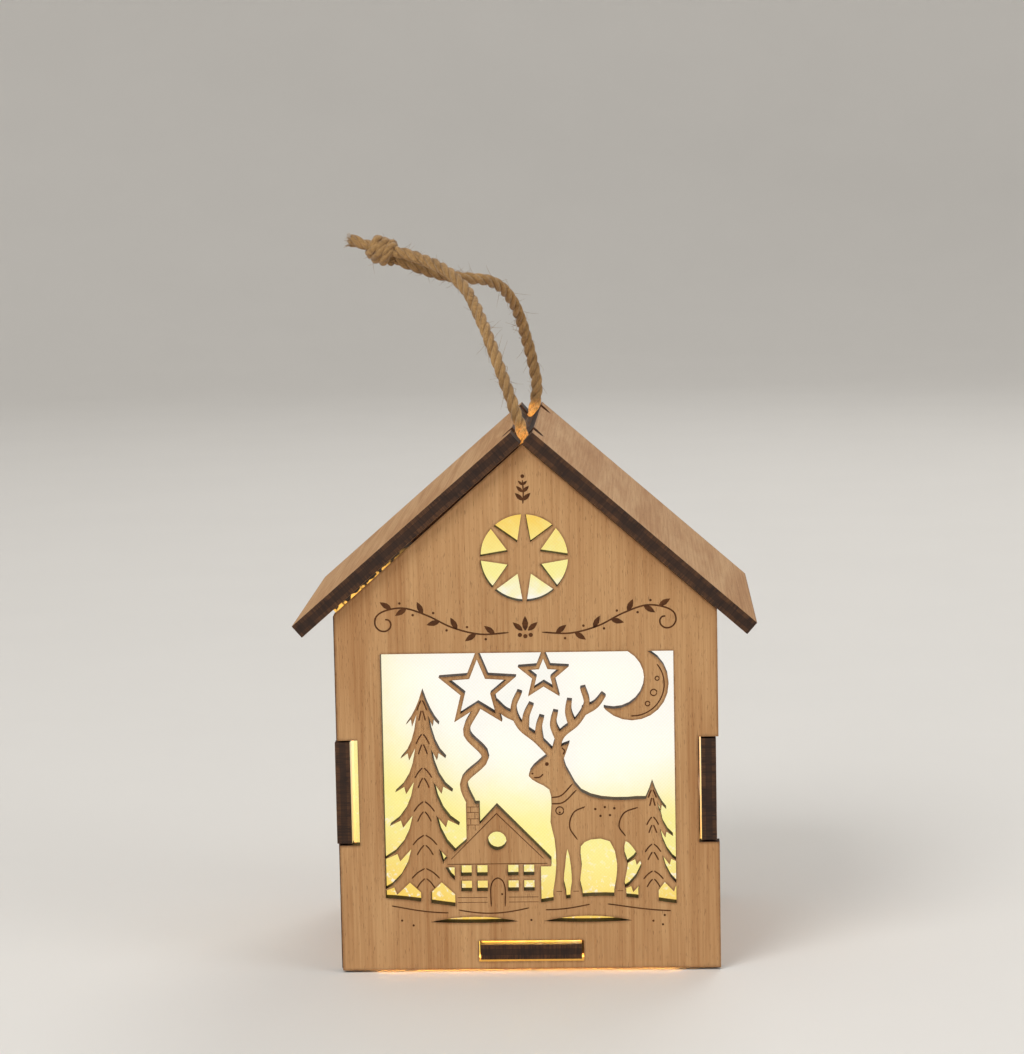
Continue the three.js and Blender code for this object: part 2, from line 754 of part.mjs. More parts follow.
function tube(points, diameter, sides, stepLength) {
  const curve = new THREE.CatmullRomCurve3(points, false, 'centripetal');
  const section = new THREE.Shape(Array.from({ length: sides }, (_, k) => {
    const angle = 2 * Math.PI * k / sides;
    return new THREE.Vector2(diameter / 2 * Math.cos(angle), diameter / 2 * Math.sin(angle));
  }));
  const steps = Math.ceil(curve.getLength() / stepLength);
  return new THREE.ExtrudeGeometry(section, { steps, extrudePath: curve, bevelEnabled: false });
}

function twineTube(route) {
  const points = route.map(([x, y, z]) => new THREE.Vector3(x, y, ridgeUnder + z));
  return tube(points, twineDiameter, twineSides, 2 * twineDiameter);
}

// The run under the ridge, bent in at both holes.
// The bend's points are shares of its length and of the run's drop.
function twineInnerRun() {
  const bendShares = [[0, 0], [0, 0.17], [0.25, 0.67], [0.85, 0.88], [1.7, 1]];
  const top = -legRootDepth - seam;
  const end = (holeY, side) => bendShares.map(([along, down]) => [
    0,
    holeY + side * innerRunBend * along,
    top - innerRunDrop * down,
  ]);
  return [...end(frontHoleY, 1), ...end(rearHoleY, -1).reverse()];
}

// The knot's outline is given as shares of its diameter and of its half length
function twineKnot() {
  const half = knotLength / 2;
  const outlineShares = [[0, -1], [0.36, -0.86], [0.5, -0.2], [0.47, 0.4], [0.3, 0.9], [0, 1]];
  const profile = new THREE.SplineCurve(
    outlineShares.map(([across, along]) => new THREE.Vector2(knotDiameter * across, half * along)),
  ).getPoints(discSteps);
  profile[0].x = 0;
  profile[profile.length - 1].x = 0;
  const body = solid(new THREE.LatheGeometry(profile, smallRoundSteps));
  const tailSplay = 0.12;
  const tails = [-1, 1].map((side) => {
    const stub = rod(twineDiameter / 2, 0, half + knotTailLength, 'y', twineSides);
    return solid(stub.rotateX(side * tailSplay).translate(0, 0, side * knotTailOffset));
  });
  const mesh = piece('twine_knot', geometryOf(join([body, ...tails])), jute);
  mesh.quaternion.setFromUnitVectors(new THREE.Vector3(0, 1, 0), knotLean.clone().normalize());
  mesh.position.set(knotFromPeak.x, knotFromPeak.y, ridgeUnder + knotFromPeak.z);
  return mesh;
}

// Light module
function moduleCup() {
  const holeRadius = lensSpigotRadius + seam;
  const underTop = cupTop - cupWall;
  return lathe('module_cup', [
    [cupInnerRadius, cupBottom],
    [cupRadius, cupBottom],
    [cupRadius, cupTop],
    [holeRadius, cupTop],
    [holeRadius, underTop],
    [cupInnerRadius, underTop],
    [cupInnerRadius, cupBottom],
  ], ivoryPlastic);
}

function lathe(name, points, material, steps = roundSteps) {
  const profile = points.map(([r, z]) => new THREE.Vector2(r, z));
  const geometry = new THREE.LatheGeometry(profile, steps).rotateX(Math.PI / 2);
  return piece(name, geometry, material);
}

function moduleBase() {
  const flange = solid(rod(flangeRadius, baseLift, baseTop, 'z'));
  const ring = solid(rod(ringOuter, baseLift, ringTop, 'z').translate(cellOffset, 0, 0));
  const lugTop = hingeZ + hingePinRadius + hingePinClearance + hingeLugRise;
  const lugs = [-1, 1].map((side) => {
    const middle = side * (lugEnd - hingeLugWidth / 2);
    const height = lugTop - baseLift;
    return block(2 * hingeBarrelRadius, hingeLugWidth, height, hingeX, middle, baseLift + height / 2);
  });
  const below = baseLift - basePlate;
  const bore = solid(rod(ringInner, below, ringTop + ringWall, 'z').translate(cellOffset, 0, 0));
  const tongueLeft = hingeX - hingeBarrelRadius - seam;
  const tongueWidth = hingeBarrelLength + 2 * seam + 2 * lugStep;
  const tongue = block(cellOffset - tongueLeft, tongueWidth, baseTop - below,
    (cellOffset + tongueLeft) / 2, 0, (baseTop + below) / 2);
  const pinReach = hingeBarrelLength / 2 + seam + hingePinLength + hingePinClearance;
  const pinBore = rod(hingePinRadius + hingePinClearance, -pinReach, pinReach, 'y', smallRoundSteps);
  const slotLength = nubSize + sliderTravel + 2 * seam;
  const nubSlot = block(nubSize + 2 * seam, slotLength, 4 * basePlate, switchX, 0, baseLift);
  const stripSlot = block(stripWidth + 2 * seam, 3 * ringWall, ringTop, cellOffset, ringInner + ringWall / 2,
    baseTop + ringTop / 2);
  const plateAndRing = join([flange, ring]).subtract(join([bore, tongue, nubSlot, stripSlot]));
  const whole = join([plateAndRing, ...lugs]).subtract(solid(pinBore.translate(hingeX, 0, hingeZ)));
  return piece('module_base', geometryOf(whole), ivoryPlastic);
}

// Round battery door with a tongue, a hinge barrel and two pins; turns down about the barrel
function batteryDoor() {
  const lid = solid(rod(ringInner - seam, baseLift, doorTop, 'z').translate(cellOffset, 0, 0));
  const tongue = block(cellOffset - hingeX, hingeBarrelLength, doorThickness,
    (cellOffset + hingeX) / 2, 0, baseLift + doorThickness / 2);
  const barrelHalf = hingeBarrelLength / 2;
  const pinHalf = barrelHalf + seam + hingePinLength;
  const barrelAndPins = [
    rod(hingeBarrelRadius, -barrelHalf, barrelHalf, 'y', smallRoundSteps),
    rod(hingePinRadius, -pinHalf, pinHalf, 'y', smallRoundSteps),
  ].map((geometry) => solid(geometry.translate(hingeX, 0, hingeZ)));
  return piece('battery_door', geometryOf(join([lid, tongue, ...barrelAndPins])), ivoryPlastic);
}

// Coin cell: a wide can, and a smaller cap with a step on its upper face
function coinCell() {
  const capRadius = cellRadius - cellCapInset;
  const canTop = cellTop - cellCapStep;
  const mesh = lathe('coin_cell', [
    [0, cellBottom],
    [cellRadius - cellSoftening, cellBottom],
    [cellRadius, cellBottom + cellSoftening],
    [cellRadius, canTop],
    [capRadius, canTop],
    [capRadius - cellSoftening, cellTop],
    [0, cellTop],
  ], cellSteel);
  mesh.position.x = cellOffset;
  return mesh;
}

// Spring strip that bows down onto the cell and runs on to the switch
function contactNegative() {
  const left = cellOffset - ringOuter;
  const right = switchX - switchWidth / 2 + stripEndLap;
  const bowBottom = cellTop + seam;
  const lower = [
    [left, stripBottom],
    [cellOffset - 2 * stripBowHalfLength, stripBottom],
    [cellOffset - stripBowHalfLength / 2, bowBottom],
    [cellOffset + stripBowHalfLength / 2, bowBottom],
    [cellOffset + 2 * stripBowHalfLength, stripBottom],
    [right, stripBottom],
  ];
  const upper = lower.map(([x, z]) => [x, z + stripThickness]).reverse();
  const strip = plate(outline([...lower, ...upper]), stripWidth);
  return standAcross(piece('contact_negative', strip, contactMetal), stripWidth / 2);
}

// Angled strip in the ring's slot that meets the rim of the cell
function contactPositive() {
  const outer = cellRadius + seam + stripThickness;
  const foot = baseTop + seam;
  const top = ringTop + positiveStripRise;
  const profile = outline([
    [outer - stripThickness, foot],
    [outer, foot],
    [outer, top],
    [outer - stripThickness - positiveStripTongue, top],
    [outer - stripThickness - positiveStripTongue, top - stripThickness],
    [outer - stripThickness, top - stripThickness],
  ]);
  const strip = plate(profile, stripWidth);
  return standAlong(piece('contact_positive', strip, contactMetal), cellOffset - stripWidth / 2);
}

function ledBulb() {
  const radius = ledDiameter / 2;
  const dome = Array.from({ length: curveSteps + 1 }, (_, k) => {
    const angle = k / curveSteps * Math.PI / 2;
    return [radius * Math.cos(angle), ledBottom + ledHeight - radius + radius * Math.sin(angle)];
  });
  dome[curveSteps][0] = 0;
  return lathe('led_bulb', [
    [0, ledBottom],
    [ledFlangeDiameter / 2, ledBottom],
    [ledFlangeDiameter / 2, ledBottom + ledFlangeHeight],
    [radius, ledBottom + ledFlangeHeight],
    ...dome,
  ], ledEpoxy, smallRoundSteps);
}

function ledLead(name, startX, end) {
  const top = new THREE.Vector3(startX, 0, ledBottom - seam);
  const landing = new THREE.Vector3(...end);
  const bendShare = 0.4;
  const route = [
    top,
    top.clone().setZ(top.z - leadStraight),
    top.clone().lerp(landing, bendShare),
    landing.clone().setZ(landing.z + leadStraight),
    landing,
  ];
  return piece(name, tube(route, leadDiameter, leadSides, leadStep), tinnedWire);
}

// The flame's outline is given as shares of its belly radius and of its height
function flameLens() {
  const seat = cupTop + seam;
  const tip = seat + lensHeight;
  const flameFoot = seat + lensFlangeHeight;
  const flameHeight = tip - flameFoot;
  const flameShares = [[0.86, 0], [1, 0.22], [0.84, 0.48], [0.48, 0.74], [0.16, 0.94], [0, 1]];
  const hollowShare = 0.5;
  const outerCurve = new THREE.SplineCurve(
    flameShares.map(([across, up]) => new THREE.Vector2(lensBelly * across, flameFoot + flameHeight * up)));
  const outer = outerCurve.getPoints(discSteps).map((p) => [p.x, p.y]);
  outer[outer.length - 1][0] = 0;
  const bore = lensSpigotRadius - lensWall;
  const hollowTop = flameFoot + flameHeight * hollowShare;
  return lathe('flame_lens', [
    [0, hollowTop],
    [bore, hollowTop - bore],
    [bore, cupTop - lensSpigotDepth],
    [lensSpigotRadius, cupTop - lensSpigotDepth],
    [lensSpigotRadius, seat],
    [lensFlangeRadius, seat],
    [lensFlangeRadius, flameFoot],
    ...outer,
  ], warmLens, smallRoundSteps);
}

// Slide switch: a box open at the bottom, and a slider whose nub reaches through the base plate
function switchBody() {
  const height = ringTop - switchBottom;
  const outer = block(switchWidth, switchLength, height, switchX, 0, switchBottom + height / 2);
  const inner = block(switchWidth - 2 * switchWall, switchLength - 2 * switchWall, height,
    switchX, 0, switchBottom + height / 2 - switchWall);
  return piece('switch_body', geometryOf(outer.subtract(inner)), switchPlastic);
}

function switchSlider() {
  const onY = sliderTravel / 2;
  const width = switchWidth - 2 * switchWall - 2 * seam;
  const carriage = block(width, sliderLength, sliderHeight, switchX, onY, switchBottom + sliderHeight / 2);
  const nubTop = switchBottom + sliderHeight / 2;
  const nub = block(nubSize, nubSize, nubTop - nubBottom, switchX, onY, (nubTop + nubBottom) / 2);
  return piece('switch_slider', geometryOf(carriage.add(nub)), ivoryPlastic);
}

// Assembly
const house = new THREE.Group();
house.add(
  frontPanel(),
  backPanel(),
  sidePanel('side_panel_left', leftInnerX, -1),
  sidePanel('side_panel_right', rightInnerX, 1),
  floorPanel(),
  gableDiffuser('front_diffuser', diffuserFrontY),
  gableDiffuser('back_diffuser', diffuserBackY - diffuserThickness),
  sideDiffuser('left_diffuser', leftInnerX + seam),
  sideDiffuser('right_diffuser', rightInnerX - seam - diffuserThickness),
  roofBoard('roof_panel_left', -1, roofSlope - leftEaveLift * Math.cos(roofSlope) / (houseWidth / 2)),
  roofBoard('roof_panel_right', 1, roofSlope),
  piece('twine_front_leg', twineTube(frontLegRoute), jute),
  piece('twine_rear_leg', twineTube(rearLegRoute), jute),
  piece('twine_inner_run', twineTube(twineInnerRun()), jute),
  twineKnot(),
);

const lightModule = new THREE.Group();
const switchLanding = [switchX + switchWidth / 4, 0, ringTop + seam];
const positiveLanding = [
  cellOffset,
  cellRadius - positiveStripTongue / 2,
  ringTop + positiveStripRise + seam,
];
lightModule.add(
  moduleCup(),
  moduleBase(),
  batteryDoor(),
  coinCell(),
  contactNegative(),
  contactPositive(),
  ledBulb(),
  ledLead('led_lead_cathode', leadPitch / 2, switchLanding),
  ledLead('led_lead_anode', -leadPitch / 2, positiveLanding),
  flameLens(),
  switchBody(),
  switchSlider(),
);

const ornament = new THREE.Group();
ornament.name = 'light_up_house_ornament';
ornament.add(house, lightModule);

export default ornament;
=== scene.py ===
"""Finishes, twine, engraving, glow and stage of a light-up plywood house ornament, around its solids."""

import itertools
import math
import random

import bmesh
import bpy
from bpy.props import FloatProperty, FloatVectorProperty, IntProperty, PointerProperty
from mathutils import Matrix, Vector


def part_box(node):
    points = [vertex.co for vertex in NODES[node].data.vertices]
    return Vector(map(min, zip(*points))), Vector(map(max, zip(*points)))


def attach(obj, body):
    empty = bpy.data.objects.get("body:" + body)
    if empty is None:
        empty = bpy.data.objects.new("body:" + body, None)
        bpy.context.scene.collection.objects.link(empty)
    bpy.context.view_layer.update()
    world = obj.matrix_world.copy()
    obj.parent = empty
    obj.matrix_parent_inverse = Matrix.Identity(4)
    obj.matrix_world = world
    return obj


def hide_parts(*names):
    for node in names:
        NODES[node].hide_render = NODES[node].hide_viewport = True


bl_info = {
    "name": "Light-up house ornament",
    "version": (1, 0, 0),
    "blender": (4, 5, 0),
    "location": "View3D > Sidebar > Ornament",
    "description": "Finishes a lit plywood house: boards, engraving, glowing sheets, twine and light module",
    "category": "Object",
}

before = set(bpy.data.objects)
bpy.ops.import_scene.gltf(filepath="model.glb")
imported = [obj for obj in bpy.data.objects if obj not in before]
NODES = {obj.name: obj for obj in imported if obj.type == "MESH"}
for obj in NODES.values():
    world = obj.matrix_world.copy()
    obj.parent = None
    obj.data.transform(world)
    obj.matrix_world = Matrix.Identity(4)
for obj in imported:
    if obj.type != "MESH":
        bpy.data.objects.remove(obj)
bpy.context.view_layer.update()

MM = 0.001
TOUCH = 0.00001
BLACK = (0, 0, 0)
HOUSE = "house"
GABLES = ("front_panel", "back_panel")
SIDE_PANELS = ("side_panel_left", "side_panel_right")
DIFFUSERS = ("front_diffuser", "back_diffuser", "left_diffuser", "right_diffuser")

# Each board and the direction of its grain
BOARD_GRAIN = {
    "front_panel": (0, 0, 1),
    "back_panel": (0, 0, 1),
    "side_panel_left": (0, 0, 1),
    "side_panel_right": (0, 0, 1),
    "floor_panel": (1, 0, 0),
    "roof_panel_left": (0, 1, 0),
    "roof_panel_right": (0, 1, 0),
}
GRAIN_SHIFT = 47.3
SAME_SIDE = Vector((1, 0.0001, 0.01))

# Softening of the solids: how near faces join, which bends are flat and which are hard edges
JOIN_REACH = 0.000001
FLAT_ANGLE = math.radians(0.3)
CORNER_ANGLE = math.radians(35)
EDGE_SEGMENTS = 2
ROUND_SHADING = "Round shading"

# Kinds of sockets on the shared shader groups
VECTOR, COLOUR, VALUE = "NodeSocketVector", "NodeSocketColor", "NodeSocketFloat"
SURFACE_INPUTS = {"Place": VECTOR, "Color": COLOUR, "Shade": COLOUR}
SURFACE_OUTPUTS = {"Color": COLOUR, "Roughness": VALUE, "Height": VALUE}

# Twine routes in metres, the height measured from the underside of the ridge
RIDGE_SEAM = 0.0004
RIDGE_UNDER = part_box("front_panel")[1].z + RIDGE_SEAM
FRONT_LEG = (
    (0, -0.02, -0.0008), (-0.0001, -0.02, 0.0012), (-0.001, -0.0195, 0.0039), (-0.0019, -0.0189, 0.0066),
    (-0.0029, -0.018, 0.0093), (-0.0039, -0.0168, 0.012), (-0.0048, -0.0154, 0.0144),
    (-0.0057, -0.0138, 0.0165), (-0.0067, -0.012, 0.0187), (-0.0077, -0.0102, 0.0207),
    (-0.009, -0.008, 0.0228), (-0.0116, -0.0052, 0.0252), (-0.0142, -0.0028, 0.0267),
    (-0.017, -0.0009, 0.0277), (-0.0202, 0.0002, 0.0287),
)
REAR_LEG = (
    (0.0002, 0.02, -0.0008), (0.0006, 0.02, 0.0014), (0.001, 0.02, 0.0034), (0.0011, 0.0198, 0.0056),
    (0.0007, 0.0194, 0.008), (0.0002, 0.0189, 0.0104), (-0.0004, 0.0181, 0.013), (-0.0011, 0.0167, 0.0158),
    (-0.0019, 0.0146, 0.0184), (-0.0029, 0.0122, 0.0206), (-0.0043, 0.0096, 0.0224),
    (-0.0062, 0.0072, 0.0235), (-0.0087, 0.0052, 0.024), (-0.0114, 0.004, 0.0243),
    (-0.0144, 0.0031, 0.025), (-0.0174, 0.0024, 0.0261), (-0.0201, 0.002, 0.0272),
)
INNER_RUN = (
    (0, -0.02, -0.0011), (0, -0.02, -0.0023), (0, -0.0184, -0.0058), (0, -0.0145, -0.0073),
    (0, -0.009, -0.0081), (0, 0.009, -0.0081), (0, 0.0145, -0.0073), (0, 0.0184, -0.0058),
    (0, 0.02, -0.0023), (0, 0.02, -0.0011),
)
KNOT_CENTRE = (-0.023, 0.0011, 0.02895)
KNOT_LEAN = Vector((-0.94, 0, 0.34)).normalized()
KNOT_CORE_OFFSET = 0.0005

# Spinning of the twine
TWINE_SEED = 7
CURVE_STEPS = 12
STEPS_PER_TURN = 16
STRAND_SIDES = 9
STRAND_PRESS = 1.1
WAVER_SPACING = 4
WAVER_RANGE = (0.9, 1.08)
FIBRE_RADIUS = 0.00003
LEG_FUZZ_REACH, KNOT_FUZZ_REACH, RUN_FUZZ_REACH = 0.0026, 0.002, 0.0014

# Stretches of glue along the ridge, in metres from front to back
RIDGE_GLUE = ((-0.0126, -0.0056), (-0.0046, 0.0031), (0.0039, 0.0174))

# Heights on the lit sheets where a change starts and ends, in millimetres
GABLE_FADE, GLOW_CREASE_RISE, SPECK_FADE = (53.0, 75.0), (52.0, 60.0), (52.0, 58.0)
SILL_GLOW, TAB_SHADE = (6.4, 5.8), (4.2, 4.6)
# Distances from the brightest point where a tone starts and is reached, in millimetres
MIDDLE_REACH, RIM_REACH, SPECK_REACH = (25.5, 34.0), (35.0, 47.0), (31.0, 39.0)

# Places of the fretwork on the gable, in millimetres, as the boards were drawn
WINDOW_LEFT, WINDOW_RIGHT, WINDOW_SILL, WINDOW_TOP = -22.9, 23.1, 6.8, 51.2
GROUND_HEIGHT, GROUND_SWELL, GROUND_WAVE, GROUND_PHASE = 4.4, 0.9, 36.0, 1.9
STAG_X = WINDOW_RIGHT - 12.6
STAG_HOOF_DEPTH = 0.8
COTTAGE_X = WINDOW_LEFT + 17.8
MOON = (WINDOW_RIGHT - 6.6, WINDOW_TOP - 5.2)
FIRS = (
    {"x": WINDOW_LEFT + 6.4, "height": 34.0, "spread": 7.4, "tiers": 6},
    {"x": WINDOW_RIGHT - 3.6, "height": 19.0, "spread": 5.2, "tiers": 4},
)
FIR_ROOT_DEPTH, FIR_TRUNK, FIR_TOP_SHARE = 1.5, 3.1, 0.22
BACK_WINDOW = (-16.5, 12.4, 16.5, 45.4)
SIDE_WINDOW = (-11.0, 17.0, 11.0, 44.0)

# Engraved garland, and the curl at its outer end from its first radius and direction to its last
GARLAND_STEM = ((2.6, 54.4), (7.0, 54.2), (11.4, 55.3), (15.4, 57.3), (19.2, 58.5))
GARLAND_FIRST_LEAF, GARLAND_LEAF_SPACING = 3, 4
CURL_CENTRE = (22.0, 56.1)
CURL_RADII = (1.85, 0.62)
CURL_DIRECTIONS = (math.radians(77), math.radians(-265))
CURL_STEPS = 8
LEAF_HALF = ((0.0, 0.03), (0.22, 0.17), (0.5, 0.21), (0.78, 0.12), (1.0, 0.0))

# Widths of the engraved lines, in millimetres
BOLD_LINE, PLAIN_LINE, LIGHT_LINE, FINE_LINE, HAIR_LINE = 0.26, 0.22, 0.2, 0.18, 0.16


def from_srgb(red, green, blue):
    """Scene-linear colour of a screen colour given in 0 to 255."""
    channels = (red / 255, green / 255, blue / 255)
    return tuple(c / 12.92 if c <= 0.04045 else ((c + 0.055) / 1.055) ** 2.4 for c in channels)


def colour(name, description, default):
    return FloatVectorProperty(
        name=name, description=description, subtype="COLOR", size=3, min=0, max=1, default=from_srgb(*default)
    )


def length(name, description, default):
    return FloatProperty(
        name=name, description=description, unit="LENGTH", subtype="DISTANCE", default=default
    )


def place(name, description, default):
    return FloatVectorProperty(
        name=name, description=description, unit="LENGTH", subtype="TRANSLATION", default=default
    )


def amount(name, description, default, unit="NONE"):
    return FloatProperty(name=name, description=description, unit=unit, default=default)


class StageSettings(bpy.types.PropertyGroup):
    """Camera, lamps and floor."""

    camera_place: place("Camera place", "Where the camera stands", (0.0181, -0.5194, 0.134))
    camera_yaw: amount("Camera yaw", "Turn of the camera to the left", math.radians(2.30), "ROTATION")
    camera_pitch: amount("Camera pitch", "Tilt of the camera downwards", math.radians(7.25), "ROTATION")
    camera_roll: amount("Camera roll", "Roll of the camera", math.radians(-1.12), "ROTATION")
    camera_lens: amount("Lens", "Focal length in millimetres on a 36 mm sensor", 109.3)
    floor_colour: colour("Floor", "Pale studio floor and backdrop", (226, 223, 218))
    sky_strength: amount("Sky", "Strength of the even light from above", 0.55)
    key_power: amount("Key", "Power of the large lamp at the front left", 5.2, "POWER")
    fill_power: amount("Fill", "Power of the lamp at the right", 2.0, "POWER")
    rim_power: amount("Rim", "Power of the lamp behind", 2.4, "POWER")
    under_power: amount("Under", "Power of the lamp that lights the underside", 1.5, "POWER")


class PlywoodSettings(bpy.types.PropertyGroup):
    """Boards of the house."""

    face_light: colour("Pale wood", "Early wood of the face veneer", (203, 160, 111))
    face_dark: colour("Dark wood", "Late wood of the face veneer", (163, 115, 70))
    pore: colour("Pores", "Short dark pores in the veneer", (112, 74, 43))
    char: colour("Char", "Laser-burnt cut edge", (38, 23, 15))
    ply: colour("Ply", "Lighter plies that show in the cut edge", (94, 60, 34))
    scorch: colour("Scorch", "Brown smoke stain beside the cuts", (96, 58, 30))
    engraved: colour("Engraving", "Burnt bottom of the engraved lines", (72, 42, 22))
    scorch_width: length("Scorch width", "Reach of the stain on the face", 0.0009)
    edge_round: length("Edge", "Softening of the cut edges", 0.00009)


class GlowSettings(bpy.types.PropertyGroup):
    """Translucent sheets behind the openings, lit from inside."""

    core: colour("Core", "Sheet nearest to the lamp", (252, 252, 247))
    middle: colour("Middle", "Sheet at a middle distance", (250, 241, 156))
    rim: colour("Rim", "Sheet far from the lamp", (250, 211, 100))
    speck_glint: colour("Specks", "Bright specks in the sheet", (255, 248, 226))
    film: colour("Film", "The sheet's own colour under room light", (110, 84, 40))
    leak: colour("Leak", "Light that comes through thin glue at the left eave", (255, 190, 86))
    lamp: colour("Lamp light", "Light of the LED inside the house", (255, 206, 120))
    base: colour("Base light", "Light that leaks under each gable", (255, 178, 86))
    centre: place("Brightest point", "Point that the glow spreads from", (0.008, 0, 0.047))
    spread: amount("Spread", "How much slower the glow fades sideways than upwards", 0.6)
    strength: amount("Glow", "Strength of the lit sheets", 1.0)
    leak_strength: amount("Leak strength", "Strength of the light at the left eave", 1.3)
    low_gain: amount("Low glow", "How much brighter the sheet is behind the floor's slot", 16.0)
    wall_low: colour("Low wall", "Lit inner wall at the foot of the notches", (252, 226, 140))
    wall_high: colour("High wall", "Lit inner wall at the top of the notches", (253, 247, 205))
    wall_strength: amount("Wall", "Brightness of the lit inner walls at the notches", 0.6)
    base_power: amount("Base", "Power of the light that leaks under each gable", 0.014, "POWER")
    lamp_power: amount("Lamp", "Power of the LED's own light inside the house", 0.13, "POWER")


class TwineSettings(bpy.types.PropertyGroup):
    """Jute hanging loop."""

    pale: colour("Pale fibre", "Jute where the fibres catch light", (189, 150, 98))
    dark: colour("Dark fibre", "Jute between the strands", (104, 74, 42))
    foot_glow: colour("Foot glow", "Lamp light that soaks into the twine at the ridge", (255, 168, 74))
    diameter: length("Diameter", "Thickness of the twine", 0.002)
    pitch: length("Lay", "Length of one turn of the strands", 0.0058)
    strands: IntProperty(name="Strands", description="Strands laid together", default=3, min=2, max=4)
    fuzz: IntProperty(name="Fuzz", description="Loose fibres on each leg", default=170, min=0, max=600)


class ModuleSettings(bpy.types.PropertyGroup):
    """Light module pushed into the floor."""

    plastic: colour("Plastic", "Ivory moulding of cup, base and door", (231, 222, 202))
    slider: colour("Slider", "Switch slider", (214, 205, 188))
    switch: colour("Switch", "Black switch body", (34, 32, 31))
    steel: colour("Cell", "Plated can of the coin cell", (206, 208, 212))
    brass: colour("Contacts", "Sprung contact strips", (206, 168, 92))
    tin: colour("Leads", "Tinned lead wire", (198, 200, 204))
    flame: colour("Flame", "The flame lens under room light", (120, 100, 62))
    flame_base: colour("Flame foot", "Glow at the foot of the flame lens", (255, 244, 208))
    flame_tip: colour("Flame tip", "Glow at the tip of the flame lens", (255, 178, 74))
    flame_strength: amount("Flame glow", "Strength of the lit flame lens", 0.72)
    epoxy: colour("Epoxy", "The LED under room light", (190, 180, 150))
    led: colour("LED", "Lit epoxy of the LED", (255, 246, 220))
    led_strength: amount("LED glow", "Strength of the lit LED", 0.9)
    edge_round: length("Edge", "Softening of the moulded edges", 0.00015)
    strip_round: length("Strip edge", "Softening of the contact strips' edges", 0.00004)


class OrnamentSettings(bpy.types.PropertyGroup):
    """All settings of the ornament."""

    stage: PointerProperty(type=StageSettings)
    plywood: PointerProperty(type=PlywoodSettings)
    glow: PointerProperty(type=GlowSettings)
    twine: PointerProperty(type=TwineSettings)
    module: PointerProperty(type=ModuleSettings)


class NodeSketch:
    """Adds nodes to a shader or geometry tree, sets their inputs and links them."""

    def __init__(self, tree):
        self.tree = tree

    def add(self, kind, inputs=None, **settings):
        node = self.tree.nodes.new(kind)
        for name, value in settings.items():
            setattr(node, name, value)
        for socket, value in (inputs or {}).items():
            self.feed(node.inputs[socket], value)
        return node

    def feed(self, socket, value):
        if isinstance(value, bpy.types.NodeSocket):
            self.tree.links.new(value, socket)
        elif socket.type == "RGBA" and len(value) == 3:
            socket.default_value = (*value, 1)
        else:
            socket.default_value = value

    def math(self, operation, first, second=0.0, clamp=False):
        node = self.add("ShaderNodeMath", {0: first, 1: second}, operation=operation, use_clamp=clamp)
        return node.outputs[0]

    def product(self, first, *others):
        """All the values multiplied."""
        for other in others:
            first = self.math("MULTIPLY", first, other)
        return first

    def blend(self, first, first_share, second, second_share):
        """Two values added, each with its share."""
        return self.math("ADD", self.product(first, first_share), self.product(second, second_share))

    def dot(self, first, second):
        node = self.add("ShaderNodeVectorMath", {0: first, 1: second}, operation="DOT_PRODUCT")
        return node.outputs["Value"]

    def vector(self, operation, first, second):
        return self.add("ShaderNodeVectorMath", {0: first, 1: second}, operation=operation).outputs[0]

    def axis(self, vector, name):
        return self.add("ShaderNodeSeparateXYZ", {0: vector}).outputs[name]

    def mix(self, factor, first, second, blend="MIX"):
        node = self.add("ShaderNodeMix", data_type="RGBA", blend_type=blend)
        self.feed(node.inputs["Factor"], factor)
        self.feed(node.inputs[6], first)
        self.feed(node.inputs[7], second)
        return node.outputs[2]

    def remap(self, value, low, high, to_low=0.0, to_high=1.0):
        inputs = {"Value": value, "From Min": low, "From Max": high, "To Min": to_low, "To Max": to_high}
        node = self.add("ShaderNodeMapRange", inputs, interpolation_type="SMOOTHSTEP", clamp=True)
        return node.outputs["Result"]

    def facing(self, normal, direction):
        """One where a surface faces the direction, and zero where it turns away from it."""
        return self.remap(self.dot(normal, direction), 0.6, 0.95)

    def noise(self, vector, scale, detail=2.0, roughness=0.5, distortion=0.0):
        inputs = {"Vector": vector, "Scale": scale, "Detail": detail}
        inputs.update({"Roughness": roughness, "Distortion": distortion})
        return self.add("ShaderNodeTexNoise", inputs).outputs["Fac"]

    def streaks(self, vector, stretch, detail, roughness=0.6, distortion=0.0):
        """Noise with a scale of its own along each axis."""
        return self.noise(self.vector("MULTIPLY", vector, stretch), 1.0, detail, roughness, distortion)

    def attribute(self, name):
        return self.add("ShaderNodeAttribute", attribute_name=name).outputs["Fac"]


def new_group(name, inputs, outputs, build):
    """A shader node group with named sockets; build(sketch, sources) gives the values of the outputs."""
    tree = bpy.data.node_groups.new(name, "ShaderNodeTree")
    for direction, sockets in (("INPUT", inputs), ("OUTPUT", outputs)):
        for socket, kind in sockets.items():
            tree.interface.new_socket(name=socket, in_out=direction, socket_type=kind)
    sketch = NodeSketch(tree)
    source = sketch.add("NodeGroupInput")
    results = build(sketch, source.outputs)
    sketch.add("NodeGroupOutput", results)
    return tree


def place_group(sketch, group, inputs):
    """One use of a shared group inside a material, with that material's own values."""
    return sketch.add("ShaderNodeGroup", inputs, node_tree=group).outputs


def new_material(name):
    """An empty material with its sketch and its Principled shader."""
    material = bpy.data.materials.new(name)
    material.use_nodes = True
    material.node_tree.nodes.clear()
    sketch = NodeSketch(material.node_tree)
    shader = sketch.add("ShaderNodeBsdfPrincipled")
    sketch.add("ShaderNodeOutputMaterial", {"Surface": shader.outputs["BSDF"]})
    return material, sketch, shader


def dress(shader, sketch, **values):
    """Sets or links inputs of a Principled shader by their names, with underscores for spaces."""
    for name, value in values.items():
        sketch.feed(shader.inputs[name.replace("_", " ")], value)


